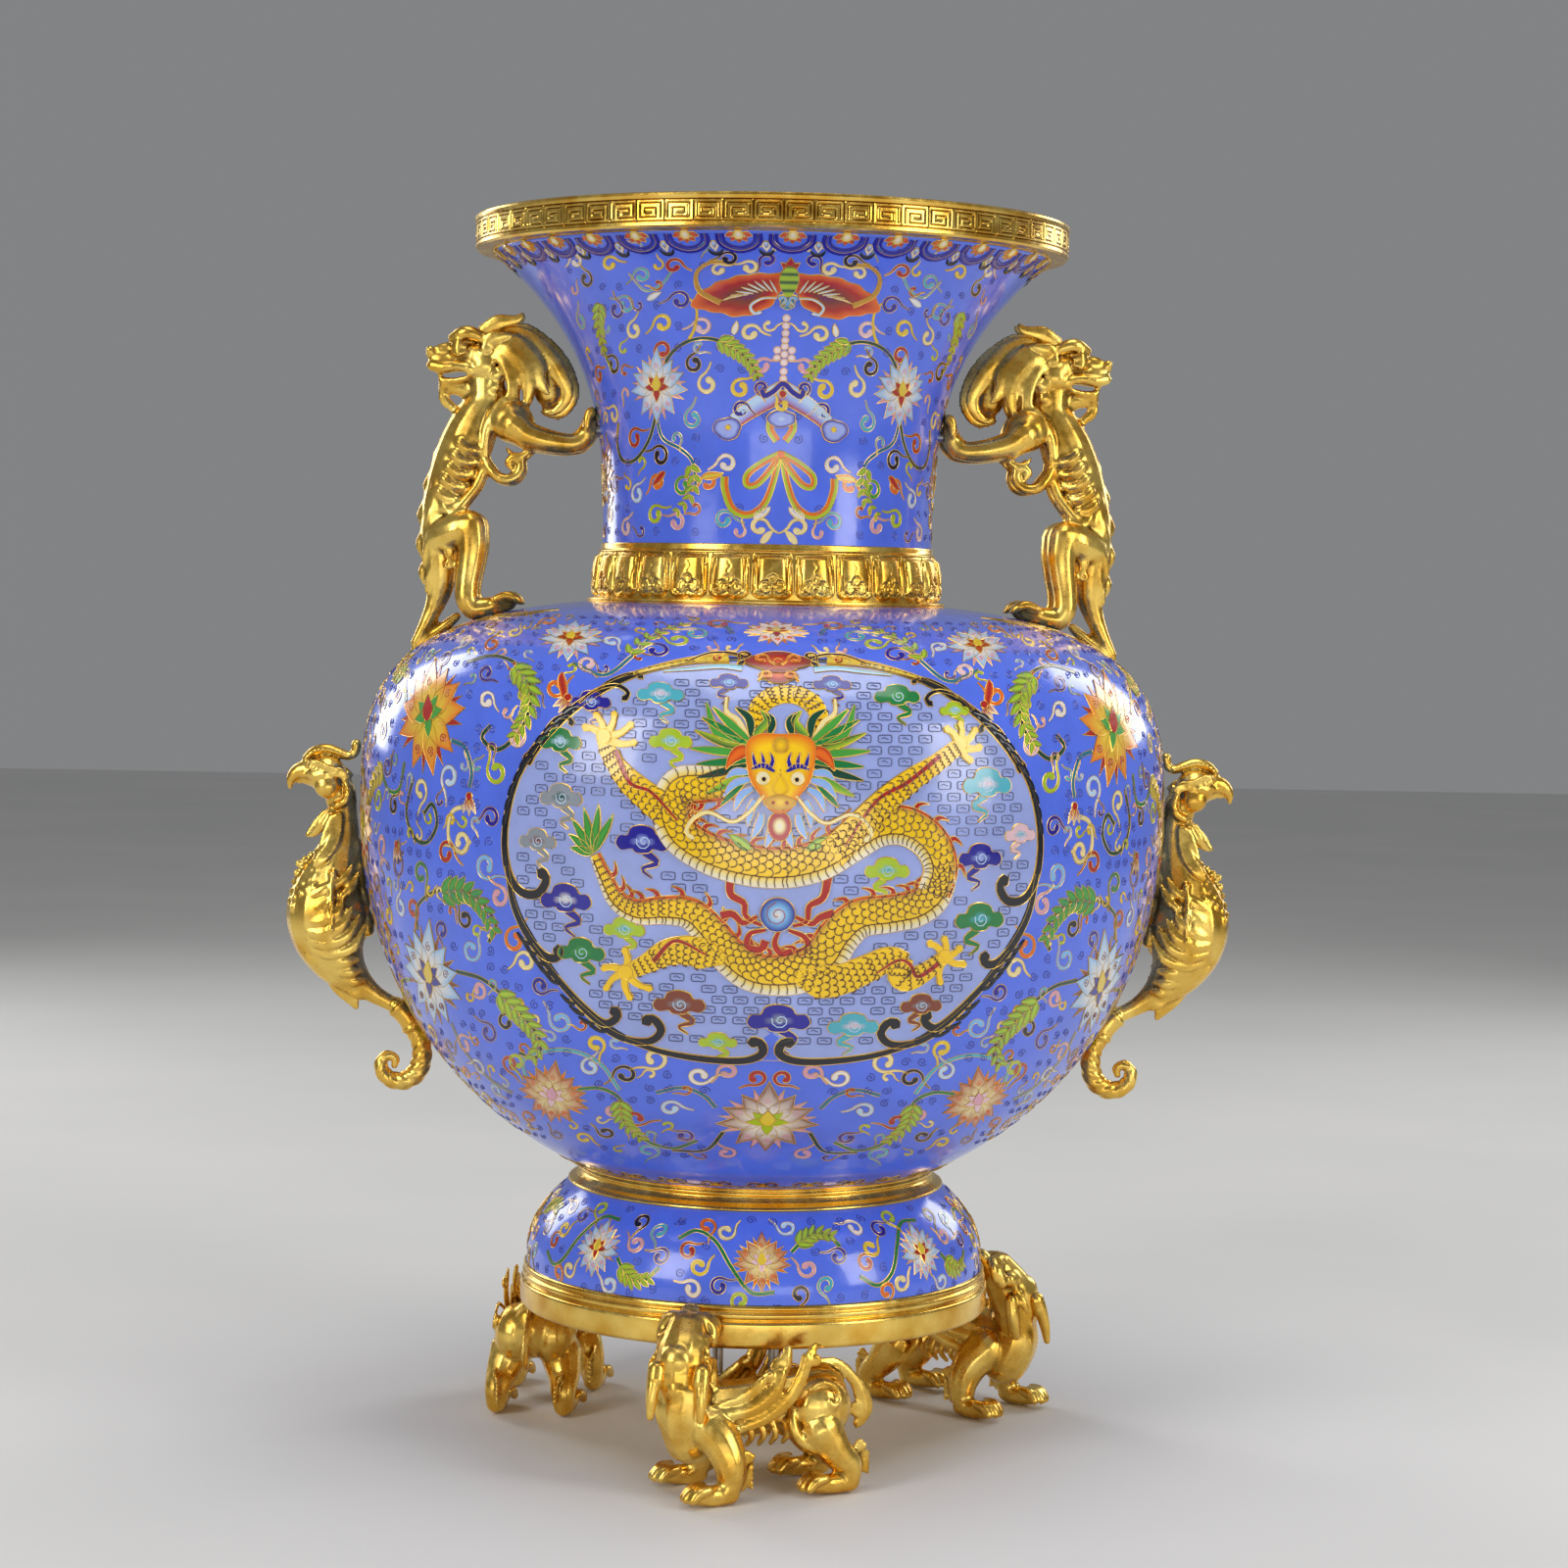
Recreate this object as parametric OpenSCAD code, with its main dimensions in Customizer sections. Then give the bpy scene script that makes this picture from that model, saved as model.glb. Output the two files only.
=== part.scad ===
// Cloisonne vase on three beast feet, with two beast handles and two bird handles.
// The floor is z = 0 and the axis of the turned body is the Z axis. The handles lie in the XZ plane.

/* [Heights] */
// Clear height under the base ring, which the foot beasts bridge
stand_h = 65; // [62:1:68]
// Height of the gilt base ring
base_ring_h = 20.5; // [18:0.5:24]
// Height of the enamelled foot
foot_h = 40.5; // [38:0.5:44]
// Height of the gilt waist ring
waist_h = 10.5; // [9:0.5:12]
// Height of the enamelled belly
belly_h = 276.7; // [270:0.1:278]
// Height of the lotus collar
collar_h = 24.2; // [20:0.2:28]
// Height of the plain band over the collar
band_h = 4.6; // [3:0.2:6]
// Height of the enamelled neck
neck_h = 142; // [138:1:146]
// Height of the mouth rim
rim_h = 16; // [14:1:20]

/* [Radii] */
// Largest radius of the belly
belly_r = 198.2; // [196:0.2:202]
// Radius of the neck where it is narrowest
neck_r = 81.4; // [81:0.1:84]
// How far the neck flares out below the rim
flare = 54.7; // [52:0.1:56]
// Outer radius of the mouth rim
rim_r = 146.2; // [145:0.1:148]
// Largest radius of the enamelled foot
foot_r = 113.5; // [112:0.5:114]
// Outer radius of the base ring
base_r = 116.5; // [116:0.5:118]
// Radius of the true bore inside the neck
bore_r = 78; // [76:0.5:78]

/* [Walls and ornament] */
// Thickness of the enamelled copper
wall = 3; // [2.5:0.1:4]
// Lappets round the lotus collar
lappets = 26; // [20:2:28]
// Radius of the studs that hold the castings
stud_r = 2.5; // [2:0.25:3]
// Radius of the tie rod through the foot
rod_r = 5; // [4:0.5:6]

/* [Hidden] */
$fn = 120;

// Levels, each the lower edge of its part
base_z = stand_h;
foot_z = base_z + base_ring_h;
waist_z = foot_z + foot_h;
belly_z = waist_z + waist_h;
collar_z = belly_z + belly_h;
band_z = collar_z + collar_h;
neck_z = band_z + band_h;
rim_z = neck_z + neck_h;
top_z = rim_z + rim_h;

// The belly is two superellipses that meet at its widest level
wide_z = belly_z + 175.5;
upper_h = 103.5;
lower_h = 194.5;
upper_n = 3.3;
lower_n = 2.1;
function super_r(radius, height, n, dz) = radius * pow(1 - pow(min(1, dz / height), n), 1 / n);
function belly_at(z, inset = 0) = z > wide_z
    ? super_r(belly_r - inset, upper_h - inset, upper_n, z - wide_z)
    : super_r(belly_r - inset, lower_h - inset, lower_n, wide_z - z);

// The neck is a cylinder that opens out by a power of its height
function neck_at(z) = neck_r + flare * pow(max(0, min(1, (z - neck_z) / (neck_h - 1))), 3.1);

// The foot is a quarter ellipse
foot_axis = 65.6;
foot_mid_z = foot_z + 2.5;
function foot_at(z, inset = 0) =
    (foot_r - inset) * sqrt(1 - pow(max(0, z - foot_mid_z) / (foot_axis - inset), 2));

function steps(a, b, n) = [for (i = [0 : n]) a + (b - a) * i / n];
function backwards(v) = [for (i = [len(v) - 1 : -1 : 0]) v[i]];

gilt = "goldenrod";
enamel = "royalblue";
steel = "silver";

module turned(points) {
    rotate_extrude() polygon(points);
}

// ---- Turned body ----

spigot_r = bore_r + 2.5;
spigot_z = collar_z - 5.2;
lip_z = rim_z + 6;

module mouth_rim() {
    color(gilt) turned([
        [rim_r - 8.5, rim_z], [rim_r - 1.6, rim_z], [rim_r - 0.4, rim_z + 1.4],
        [rim_r - 0.4, top_z - 2.6], [rim_r, top_z - 1.6], [rim_r - 1, top_z],
        [rim_r - 9, top_z], [rim_r - 11.5, top_z - 2.5], [rim_r - 11.8, lip_z],
        [rim_r - 8.5, lip_z]
    ]);
}

module neck_shell() {
    shoulder_z = neck_z + 18;
    outer = [for (z = steps(neck_z, rim_z - 1, 30)) [neck_at(z), z]];
    inner = [for (z = steps(shoulder_z, rim_z - 1, 26))
        [bore_r + neck_at(z) - neck_at(shoulder_z), z]];
    top_r = rim_r - 8.6;
    color(enamel) difference() {
        turned(concat(
            [[bore_r, spigot_z], [spigot_r, spigot_z], [spigot_r, neck_z]],
            outer,
            [[top_r, rim_z], [top_r, lip_z - 0.1], [top_r - wall, lip_z - 0.1]],
            backwards(inner)
        ));
        fore_holes();
    }
}

module neck_band() {
    color(gilt) turned([
        [spigot_r + 0.1, band_z], [neck_r + 2, band_z], [neck_r + 2, band_z + 1],
        [neck_r + 0.6, neck_z], [spigot_r + 0.1, neck_z]
    ]);
}

// One lappet of the collar, as a rounded tongue that stands proud of the bell-shaped wall
module lappet() {
    half = 180 / lappets * 0.86;
    tongue_h = collar_h - 4.5;
    rotate([0, 0, -half]) rotate_extrude(angle = 2 * half) polygon([
        [84, collar_z + 3.2], [neck_r + 7, collar_z + 3.2], [neck_r + 7.7, collar_z + 7],
        [neck_r + 6.6, collar_z + 3 + tongue_h * 0.6], [neck_r + 3.4, collar_z + 3 + tongue_h],
        [82.5, collar_z + 3 + tongue_h]
    ]);
}

module lotus_collar() {
    color(gilt) union() {
        turned([
            [spigot_r + 0.1, collar_z], [neck_r + 8.8, collar_z], [neck_r + 8.8, collar_z + 2],
            [neck_r + 6, collar_z + 3], [neck_r + 6.2, collar_z + 8],
            [neck_r + 5, collar_z + 16], [neck_r + 2, band_z], [spigot_r + 0.1, band_z]
        ]);
        for (i = [0 : lappets - 1]) rotate([0, 0, (i + 0.5) * 360 / lappets]) lappet();
    }
}

module belly_shell() {
    floor_h = 4;
    outer = [for (z = steps(belly_z, collar_z, 56)) [belly_at(z), z]];
    inner = [for (z = steps(belly_z + floor_h, collar_z - wall, 50)) [belly_at(z, wall), z]];
    color(enamel) difference() {
        turned(concat(
            [[0, belly_z]], outer,
            [[spigot_r + 0.2, collar_z], [spigot_r + 0.2, collar_z - wall]],
            backwards(inner),
            [[0, belly_z + floor_h]]
        ));
        translate([0, 0, belly_z - 1]) cylinder(r = rod_r + 0.2, h = floor_h + 2);
        hind_holes();
        bird_holes();
    }
}

module waist_ring() {
    color(gilt) turned([
        [72, waist_z], [93.5, waist_z], [93.3, waist_z + 1.2], [88.5, waist_z + 4],
        [87, waist_z + 6], [88.6, waist_z + 7.4], [87.4, waist_z + 8.8],
        [89.5, belly_z], [72, belly_z]
    ]);
}

module foot_shell() {
    outer = [for (z = steps(foot_z, waist_z, 20)) [foot_at(z), z]];
    inner = [for (z = steps(foot_z, waist_z - wall, 18)) [foot_at(z, wall), z]];
    color(enamel) turned(concat(outer, [[74, waist_z], [74, waist_z - wall]], backwards(inner)));
}

module base_ring() {
    ledge = 3;
    color(gilt) difference() {
        turned([
            [base_r - 12.5, base_z], [base_r - 1, base_z], [base_r, base_z + 1.5],
            [base_r, base_z + 12], [base_r - 1.8, base_z + 13.2], [base_r - 0.9, base_z + 14.6],
            [base_r - 1, base_z + 17], [base_r - 2.6, foot_z], [base_r - 8.5, foot_z],
            [base_r - 8.5, base_z + ledge], [base_r - 12.5, base_z + ledge]
        ]);
        for (turn = foot_turns) foot_holes(turn);
    }
}

module base_plate() {
    color(gilt) difference() {
        translate([0, 0, base_z + 3]) cylinder(r = base_r - 8.7, h = 2.5);
        translate([0, 0, base_z]) cylinder(r = rod_r + 0.2, h = 10);
    }
}

// ---- Tie rod that draws the foot up to the belly ----

module ring(r_in, r_out, z, h, sides = 120) {
    translate([0, 0, z]) difference() {
        cylinder(r = r_out, h = h, $fn = sides);
        translate([0, 0, -1]) cylinder(r = r_in, h = h + 2);
    }
}

rod_low_z = base_z - 9;
rod_high_z = belly_z + 17;

module tie_rod() {
    color(steel) translate([0, 0, rod_low_z]) cylinder(r = rod_r, h = rod_high_z - rod_low_z);
}

module tie_rod_spreader() {
    color(steel) ring(rod_r + 0.2, 32, belly_z + 4, 2.5);
}

module tie_rod_upper_nut() {
    color(steel) ring(rod_r, rod_r * 1.9, belly_z + 6.5, 8, 6);
}

module tie_rod_lower_nut() {
    color(steel) ring(rod_r, rod_r * 1.9, base_z - 5, 8, 6);
}

// ---- Castings, each a chain of balls joined by their hulls ----

// A limb through points [x, y, z, radius]
module limb(points, sides = 10) {
    for (i = [0 : len(points) - 2]) hull() {
        translate([points[i][0], points[i][1], points[i][2]])
            sphere(r = points[i][3], $fn = sides);
        translate([points[i + 1][0], points[i + 1][1], points[i + 1][2]])
            sphere(r = points[i + 1][3], $fn = sides);
    }
}

function mirrored(points) = [for (p = points) [p[0], -p[1], p[2], p[3]]];

// Both limbs of a pair, one on each side of the XZ plane
module pair(points, sides = 10) {
    limb(points, sides);
    limb(mirrored(points), sides);
}

// A casting cut to sit on the turned body, with a socket for each of its studs
module fitted(fixings) {
    gap = 0.3;
    difference() {
        union() children();
        turned(concat(
            [[0, waist_z]],
            [for (z = steps(waist_z + 15, collar_z - 1, 24)) [belly_at(z) + gap, z]],
            [[neck_r + 9, collar_z]],
            [for (z = steps(neck_z, rim_z - 1, 16)) [neck_at(z) + gap, z]],
            [[0, rim_z]]
        ));
        for (fixing = fixings) along(fixing, 1, 5, stud_r, 12);
    }
}

// Climbing beast: x is the distance from the vase's axis
torso = [[158, 0, 436, 13], [159, 0, 456, 12.5], [152, 0, 476, 14.5], [142, 0, 494, 13.5],
    [137, 0, 512, 12], [139, 0, 530, 13]];
muzzle = [[139, 0, 530, 13], [150, 0, 536, 9.5], [161, 0, 530, 8]];
jaw = [[142, 0, 521, 8], [160, 0, 519, 5]];
mane = [[131, 0, 528, 15], [116, 0, 522, 14], [109, 0, 512, 9]];
beard = [[161, 0, 515, 3], [158, 0, 508, 2.5], [151, 0, 501, 3]];
foreleg = [[131, 11, 500, 10], [113, 14, 491, 6.5], [94, 13, 490, 5], [89.6, 12, 497, 5.4],
    [89, 12, 503, 4.6]];
hindleg = [[153, 10, 440, 13], [142, 14, 450, 9.5], [146, 15, 425, 6.5], [143, 15, 411.5, 6],
    [123, 15, 413.4, 4.8]];
tail = [[163, 0, 422, 8], [168, 0, 403, 4.6], [175, 0, 389, 3], [152, 0, 405.5, 3]];
shoulder_curl = [[139, 12, 482, 2.5], [130, 15, 473, 2.6], [121, 15, 478, 2.6]];
horn = [[139, 5.5, 545, 4], [122.5, 8, 552, 1.8]];

module beast_casting() {
    color(gilt) fitted(beast_fixings) {
        limb(torso, 12);
        limb(muzzle, 12);
        limb(jaw);
        limb(mane, 12);
        limb(beard, 8);
        pair(foreleg);
        pair(hindleg);
        limb(tail, 8);
        pair(shoulder_curl, 6);
    }
}

module beast_horns() {
    color(gilt) pair(horn, 8);
}

// Bird: x is the distance from the vase's axis
bird_body = [[211, 0, 325, 11], [208, 0, 309, 8.5], [209, 0, 291, 12], [214, 0, 272, 18],
    [215.5, 0, 255, 21], [207, 0, 234, 15], [197, 0, 221, 7], [184, 0, 213, 4.2]];
beak = [[219, 0, 328, 7], [230, 0, 327, 3.6], [233.5, 0, 319.5, 1.5]];
crest = [[221, 0, 334, 3.5], [208, 0, 337, 3.5], [201.5, 0, 340, 2.5]];
wing = [[218, 13, 268, 7], [204, 14, 254, 9], [196, 10, 240, 6]];
scroll_points = [[169, 0, 196, 4.6], [168, 0, 185, 4.8], [172.5, 0, 177, 4.6], [180, 0, 174, 4.2],
    [186.5, 0, 178, 3.8], [187, 0, 184, 3.2], [182, 0, 185.5, 2.6]];

module bird_casting() {
    color(gilt) fitted(bird_fixings) {
        limb(bird_body, 12);
        limb(beak, 8);
        limb(crest, 8);
        pair(wing);
    }
}

module bird_ferrule() {
    color(gilt) translate([175, 0, 206]) rotate([0, -125, 0])
        translate([0, 0, -1]) cylinder(r1 = 6.6, r2 = 5.6, h = 9, $fn = 24);
}

module bird_scroll() {
    color(gilt) limb(scroll_points, 8);
}

// ---- Studs and nuts of the handles ----

// Each fixing is [x, y, z, tilt]: where the stud leaves the wall, and its angle above horizontal
fore_fixings = [[86, 12, 497, 0], [86, -12, 497, 0]];
hind_fixings = [[136, 15, 404.5, 68], [136, -15, 404.5, 68]];
beast_fixings = concat(fore_fixings, hind_fixings);
bird_fixings = [[193, 0, 270, -8], [168.5, 0, 206, -42]];

// A straight piece along a fixing's axis, from inside the wall to outside it
module along(fixing, inside, outside, r, sides = 32) {
    translate([fixing[0], fixing[1], fixing[2]]) rotate([0, 90 - fixing[3], 0])
        translate([0, 0, -inside]) cylinder(r = r, h = inside + outside, $fn = sides);
}

module studs(fixings) {
    color(steel) for (fixing = fixings) along(fixing, 14, 5, stud_r);
}

module nuts(fixings) {
    nut_h = 4;
    color(steel) for (fixing = fixings) difference() {
        along(fixing, 7 + nut_h, -7, stud_r * 1.9, 6);
        along(fixing, 14, 5, stud_r);
    }
}

module both_sides() {
    children();
    mirror([1, 0, 0]) children();
}

module fore_holes() {
    both_sides() for (fixing = fore_fixings) along(fixing, 12, 6, stud_r + 0.2);
}

module hind_holes() {
    both_sides() for (fixing = hind_fixings) along(fixing, 10, 8, stud_r + 0.2);
}

module bird_holes() {
    both_sides() for (fixing = bird_fixings) along(fixing, 10, 8, stud_r + 0.2);
}

// ---- Foot beasts, three of one pattern set round the base ring ----

foot_turns = [-2, 118, 238];
heading = 22;
body_y = -122;

// The beast's own body runs along x, head first, before it is turned to its place
foot_torso = [[30, 0, 34, 15], [8, 0, 42, 14.5], [-14, 0, 42, 14.5], [-30, 0, 43, 16.5]];
foot_chest = [[31, 0, 30, 15], [33, 2, 46, 12]];
foot_foreleg = [[26, 12, 30, 10], [24, 19, 16, 8], [24, 21, 5, 6], [34, 22, 4.5, 5.5]];
foot_hindleg = [[-30, 9, 40, 14], [-22, 15, 26, 10], [-34, 17, 14, 7], [-32, 18, 5, 6],
    [-20, 18, 4.5, 5.5]];
foot_tail = [[-42, 0, 54, 4], [-50, 0, 46, 5], [-51, 0, 36, 4.5]];
foot_wing = [[12, 14, 44, 3.5], [-4, 16, 54, 3.5], [-16, 15, 58, 3.5]];
// The head is thrown back on the ring: y is the distance from the vase's axis, outwards
head_turn = -14.5;
foot_head = [[0, -142, 46, 12], [0, -136, 62, 12.5], [0, -128, 74, 9.5], [0, -124.5, 82, 6.5]];
foot_horn = [[11, -146, 60, 4], [12, -153, 48, 3], [13, -155, 36, 1.8]];

module foot_casting() {
    color(gilt) difference() {
        union() {
            translate([2, body_y, 0]) rotate([0, 0, 180 + heading]) {
                limb(foot_torso, 12);
                limb(foot_chest, 10);
                pair(foot_foreleg, 9);
                pair(foot_hindleg, 9);
                limb(foot_tail, 8);
                pair(foot_wing, 6);
            }
            rotate([0, 0, head_turn]) limb(foot_head, 12);
        }
        translate([0, 0, -50]) cube([500, 500, 100], center = true);
        translate([0, 0, base_z - 0.2]) cylinder(r = base_r + 0.3, h = 30, $fn = 60);
        for (p = foot_stud_places)
            translate([p[0], p[1], base_z - 12]) cylinder(r = stud_r, h = 21, $fn = 12);
    }
}

module foot_horns() {
    color(gilt) rotate([0, 0, head_turn])
        for (side = [-1, 1]) limb([for (p = foot_horn) [side * p[0], p[1], p[2], p[3]]], 8);
}

foot_stud_places = [[-16, -110.5], [10, -111.5]];

module foot_studs() {
    color(steel) for (p = foot_stud_places)
        translate([p[0], p[1], base_z - 12]) cylinder(r = stud_r, h = 21, $fn = 32);
}

module foot_holes(turn) {
    rotate([0, 0, turn]) for (p = foot_stud_places)
        translate([p[0], p[1], base_z - 1]) cylinder(r = stud_r + 0.2, h = 11, $fn = 32);
}

// ---- Nodes ----

module left() {
    mirror([1, 0, 0]) children();
}

module placed(turn) {
    rotate([0, 0, turn]) children();
}

mouth_rim();
neck_shell();
neck_band();
lotus_collar();
belly_shell();
waist_ring();
foot_shell();
base_ring();
base_plate();
tie_rod();
tie_rod_spreader();
tie_rod_upper_nut();
tie_rod_lower_nut();
beast_casting();  // beast_handle_right
left() beast_casting();  // beast_handle_left
beast_horns();  // beast_horns_right
left() beast_horns();  // beast_horns_left
studs(beast_fixings);  // beast_studs_right
left() studs(beast_fixings);  // beast_studs_left
nuts(beast_fixings);  // beast_nuts_right
left() nuts(beast_fixings);  // beast_nuts_left
bird_casting();  // bird_right
left() bird_casting();  // bird_left
bird_ferrule();  // bird_ferrule_right
left() bird_ferrule();  // bird_ferrule_left
bird_scroll();  // bird_scroll_right
left() bird_scroll();  // bird_scroll_left
studs(bird_fixings);  // bird_studs_right
left() studs(bird_fixings);  // bird_studs_left
nuts(bird_fixings);  // bird_nuts_right
left() nuts(bird_fixings);  // bird_nuts_left
placed(foot_turns[0]) foot_casting();  // foot_beast_front
placed(foot_turns[1]) foot_casting();  // foot_beast_right
placed(foot_turns[2]) foot_casting();  // foot_beast_left
placed(foot_turns[0]) foot_horns();  // foot_horns_front
placed(foot_turns[1]) foot_horns();  // foot_horns_right
placed(foot_turns[2]) foot_horns();  // foot_horns_left
placed(foot_turns[0]) foot_studs();  // foot_studs_front
placed(foot_turns[1]) foot_studs();  // foot_studs_right
placed(foot_turns[2]) foot_studs();  // foot_studs_left
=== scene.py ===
# %% [markdown]
# # A cloisonne vase on beast feet
# The vase is a copper body covered in enamel, with rings and castings of gilt bronze. The packed
# frame gives the true size and place of every part, so the lesson starts by loading it and keeping
# its box. Everything after that is shaped in millimetres and written into meshes in metres.

# %% Load the frame
import math

import bpy
import numpy as np
from mathutils import Matrix, Vector


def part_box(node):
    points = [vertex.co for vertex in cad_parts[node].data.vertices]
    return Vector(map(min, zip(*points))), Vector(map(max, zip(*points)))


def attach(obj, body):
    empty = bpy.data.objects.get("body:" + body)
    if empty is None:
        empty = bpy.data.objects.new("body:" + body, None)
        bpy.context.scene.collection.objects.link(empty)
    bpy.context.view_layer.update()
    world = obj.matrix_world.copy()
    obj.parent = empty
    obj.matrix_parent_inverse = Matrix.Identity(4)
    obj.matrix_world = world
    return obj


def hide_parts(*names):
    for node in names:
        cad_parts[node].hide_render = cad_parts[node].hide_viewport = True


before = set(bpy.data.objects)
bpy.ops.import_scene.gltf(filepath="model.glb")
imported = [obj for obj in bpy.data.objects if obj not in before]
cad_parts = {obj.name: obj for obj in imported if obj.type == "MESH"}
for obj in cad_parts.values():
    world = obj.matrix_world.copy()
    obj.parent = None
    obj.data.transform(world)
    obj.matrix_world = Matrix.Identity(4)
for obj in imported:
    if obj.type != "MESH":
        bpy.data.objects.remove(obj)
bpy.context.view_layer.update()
MM = 0.001
print("CAD nodes:", len(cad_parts))

# %% [markdown]
# ## The camera
# A long lens far from the vase keeps the rings nearly flat, as a catalogue picture does. The camera
# stands a little to the left of the front, at about two thirds of the vase's height, looks slightly
# down and is tilted by one degree.

# %% Camera
CAMERA_PLACE = (-0.0593, -1.7414, 0.4201)
CAMERA_YAW = math.radians(-2.3)
CAMERA_PITCH = math.radians(3.15)
CAMERA_ROLL = math.radians(1.07)
camera = bpy.data.objects.new("camera", bpy.data.cameras.new("camera"))
camera.data.lens = 80.58
camera.data.sensor_width = 36
camera.data.clip_end = 20
turns = (
    Matrix.Rotation(CAMERA_YAW, 4, "Z")
    @ Matrix.Rotation(math.pi / 2 - CAMERA_PITCH, 4, "X")
    @ Matrix.Rotation(CAMERA_ROLL, 4, "Z")
)
camera.matrix_world = Matrix.Translation(CAMERA_PLACE) @ turns
bpy.context.scene.collection.objects.link(camera)
bpy.context.scene.camera = camera
print("camera lens:", camera.data.lens, "mm")

# %% [markdown]
# ## The studio
# Gilt metal shows what stands round it, so the light comes from large soft panels with darker gaps
# between them. A weak even world fills the shadows. The floor is one wide pale sheet.

# %% Lights, world and floor
def soft_light(name, place, target, size, power, tint=(1, 1, 1)):
    """Adds a square area light of the given size in metres at place, turned to face target."""
    lamp = bpy.data.objects.new(name, bpy.data.lights.new(name, "AREA"))
    lamp.data.shape = "RECTANGLE"
    lamp.data.size, lamp.data.size_y = size
    lamp.data.energy = power
    lamp.data.color = tint
    lamp.location = place
    lamp.rotation_euler = (Vector(target) - Vector(place)).to_track_quat("-Z", "Y").to_euler()
    bpy.context.scene.collection.objects.link(lamp)


MIDDLE = (0, 0, 0.3)
soft_light("key_left", (-1.5, -1.5, 1.1), MIDDLE, (0.7, 1.3), 17, (1, 0.97, 0.93))
soft_light("key_right", (1.6, -1.2, 0.9), MIDDLE, (0.6, 1.3), 13, (1, 0.98, 0.95))
soft_light("top", (0.1, -0.3, 2.0), MIDDLE, (1.2, 1.2), 13)
soft_light("low_front", (0.2, -1.9, 0.15), (0, 0, 0.15), (1.4, 0.35), 4)
soft_light("back_left", (-1.3, 1.5, 1.0), MIDDLE, (0.6, 1.3), 11)
soft_light("back_right", (1.4, 1.3, 1.1), MIDDLE, (0.6, 1.2), 10)

world = bpy.data.worlds.new("studio")
world.use_nodes = True
world.node_tree.nodes["Background"].inputs["Color"].default_value = (0.80, 0.81, 0.83, 1)
world.node_tree.nodes["Background"].inputs["Strength"].default_value = 0.28
bpy.context.scene.world = world
bpy.context.scene.view_settings.view_transform = "Standard"

# %% [markdown]
# ## Materials
# The scene has four finishes: fire gilding, opaque enamel, bright steel inside, and the floor. Every
# material starts from the same helper, which sets the shader's own sockets for what is constant and
# lets noise textures on Object coordinates drive what varies.

# %% Material helpers
def linear(colour):
    """Display colour to linear light: a power curve above a small straight part, per channel."""
    c = np.asarray(colour, float)
    return np.where(c <= 0.04045, c / 12.92, ((c + 0.055) / 1.055) ** 2.4)


def new_material(name, **sockets):
    """Makes a node material and sets the named sockets of its shader. Returns tree and shader."""
    material = bpy.data.materials.new(name)
    material.use_nodes = True
    shader = material.node_tree.nodes["Principled BSDF"]
    for socket, value in sockets.items():
        shader.inputs[socket.replace("_", " ")].default_value = value
    return material, material.node_tree, shader


def add(tree, kind, **settings):
    """Adds a node; a setting whose name is a socket sets that socket, any other sets the node."""
    node = tree.nodes.new(kind)
    for key, value in settings.items():
        socket = node.inputs.get(key.replace("_", " "))
        if socket is not None:
            socket.default_value = value
        else:
            setattr(node, key, value)
    return node


def noise(tree, scale, detail=3.0, roughness=0.5):
    """Noise on Object coordinates, with scale in features per metre."""
    place = add(tree, "ShaderNodeTexCoord")
    texture = add(tree, "ShaderNodeTexNoise", Scale=scale, Detail=detail, Roughness=roughness)
    tree.links.new(place.outputs["Object"], texture.inputs["Vector"])
    return texture.outputs["Fac"]


def remap(tree, value, low, high, out_low, out_high):
    """Straight-line map of value from low..high to out_low..out_high, held at the ends."""
    node = add(tree, "ShaderNodeMapRange")
    node.inputs["From Min"].default_value = low
    node.inputs["From Max"].default_value = high
    node.inputs["To Min"].default_value = out_low
    node.inputs["To Max"].default_value = out_high
    tree.links.new(value, node.inputs["Value"])
    return node.outputs["Result"]


def blend_colours(tree, factor, first, second):
    """Mix of two colours, or of two colour sockets, by factor."""
    node = add(tree, "ShaderNodeMix", data_type="RGBA")
    tree.links.new(factor, node.inputs["Factor"])
    for index, colour in ((6, first), (7, second)):
        if isinstance(colour, bpy.types.NodeSocket):
            tree.links.new(colour, node.inputs[index])
        else:
            node.inputs[index].default_value = (*linear(colour), 1)
    return node.outputs[2]


def bump(tree, shader, height, strength, distance):
    """Bends the shader's normal by a height, with distance in metres."""
    node = add(tree, "ShaderNodeBump", Strength=strength, Distance=distance)
    tree.links.new(height, node.inputs["Height"])
    tree.links.new(node.outputs["Normal"], shader.inputs["Normal"])


# %% [markdown]
# ### Gilding
# Fire gilding is soft and slightly uneven: thick and bright on the high places, thin and brown where
# the burnisher could not reach. A `hollow` attribute, measured later on each casting, says how deep a
# point lies in a groove, and the colour darkens with it: partly tarnish, and partly painted shade
# standing in for the occlusion of the grooves.

# %% Gilding
GOLD_BRIGHT = (0.98, 0.84, 0.44)
GOLD_DEEP = (0.87, 0.66, 0.24)
# Dark brown for the grooves: partly tarnish, partly painted shade standing in for occlusion.
GOLD_TARNISH_AND_SHADE = (0.34, 0.20, 0.06)


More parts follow.
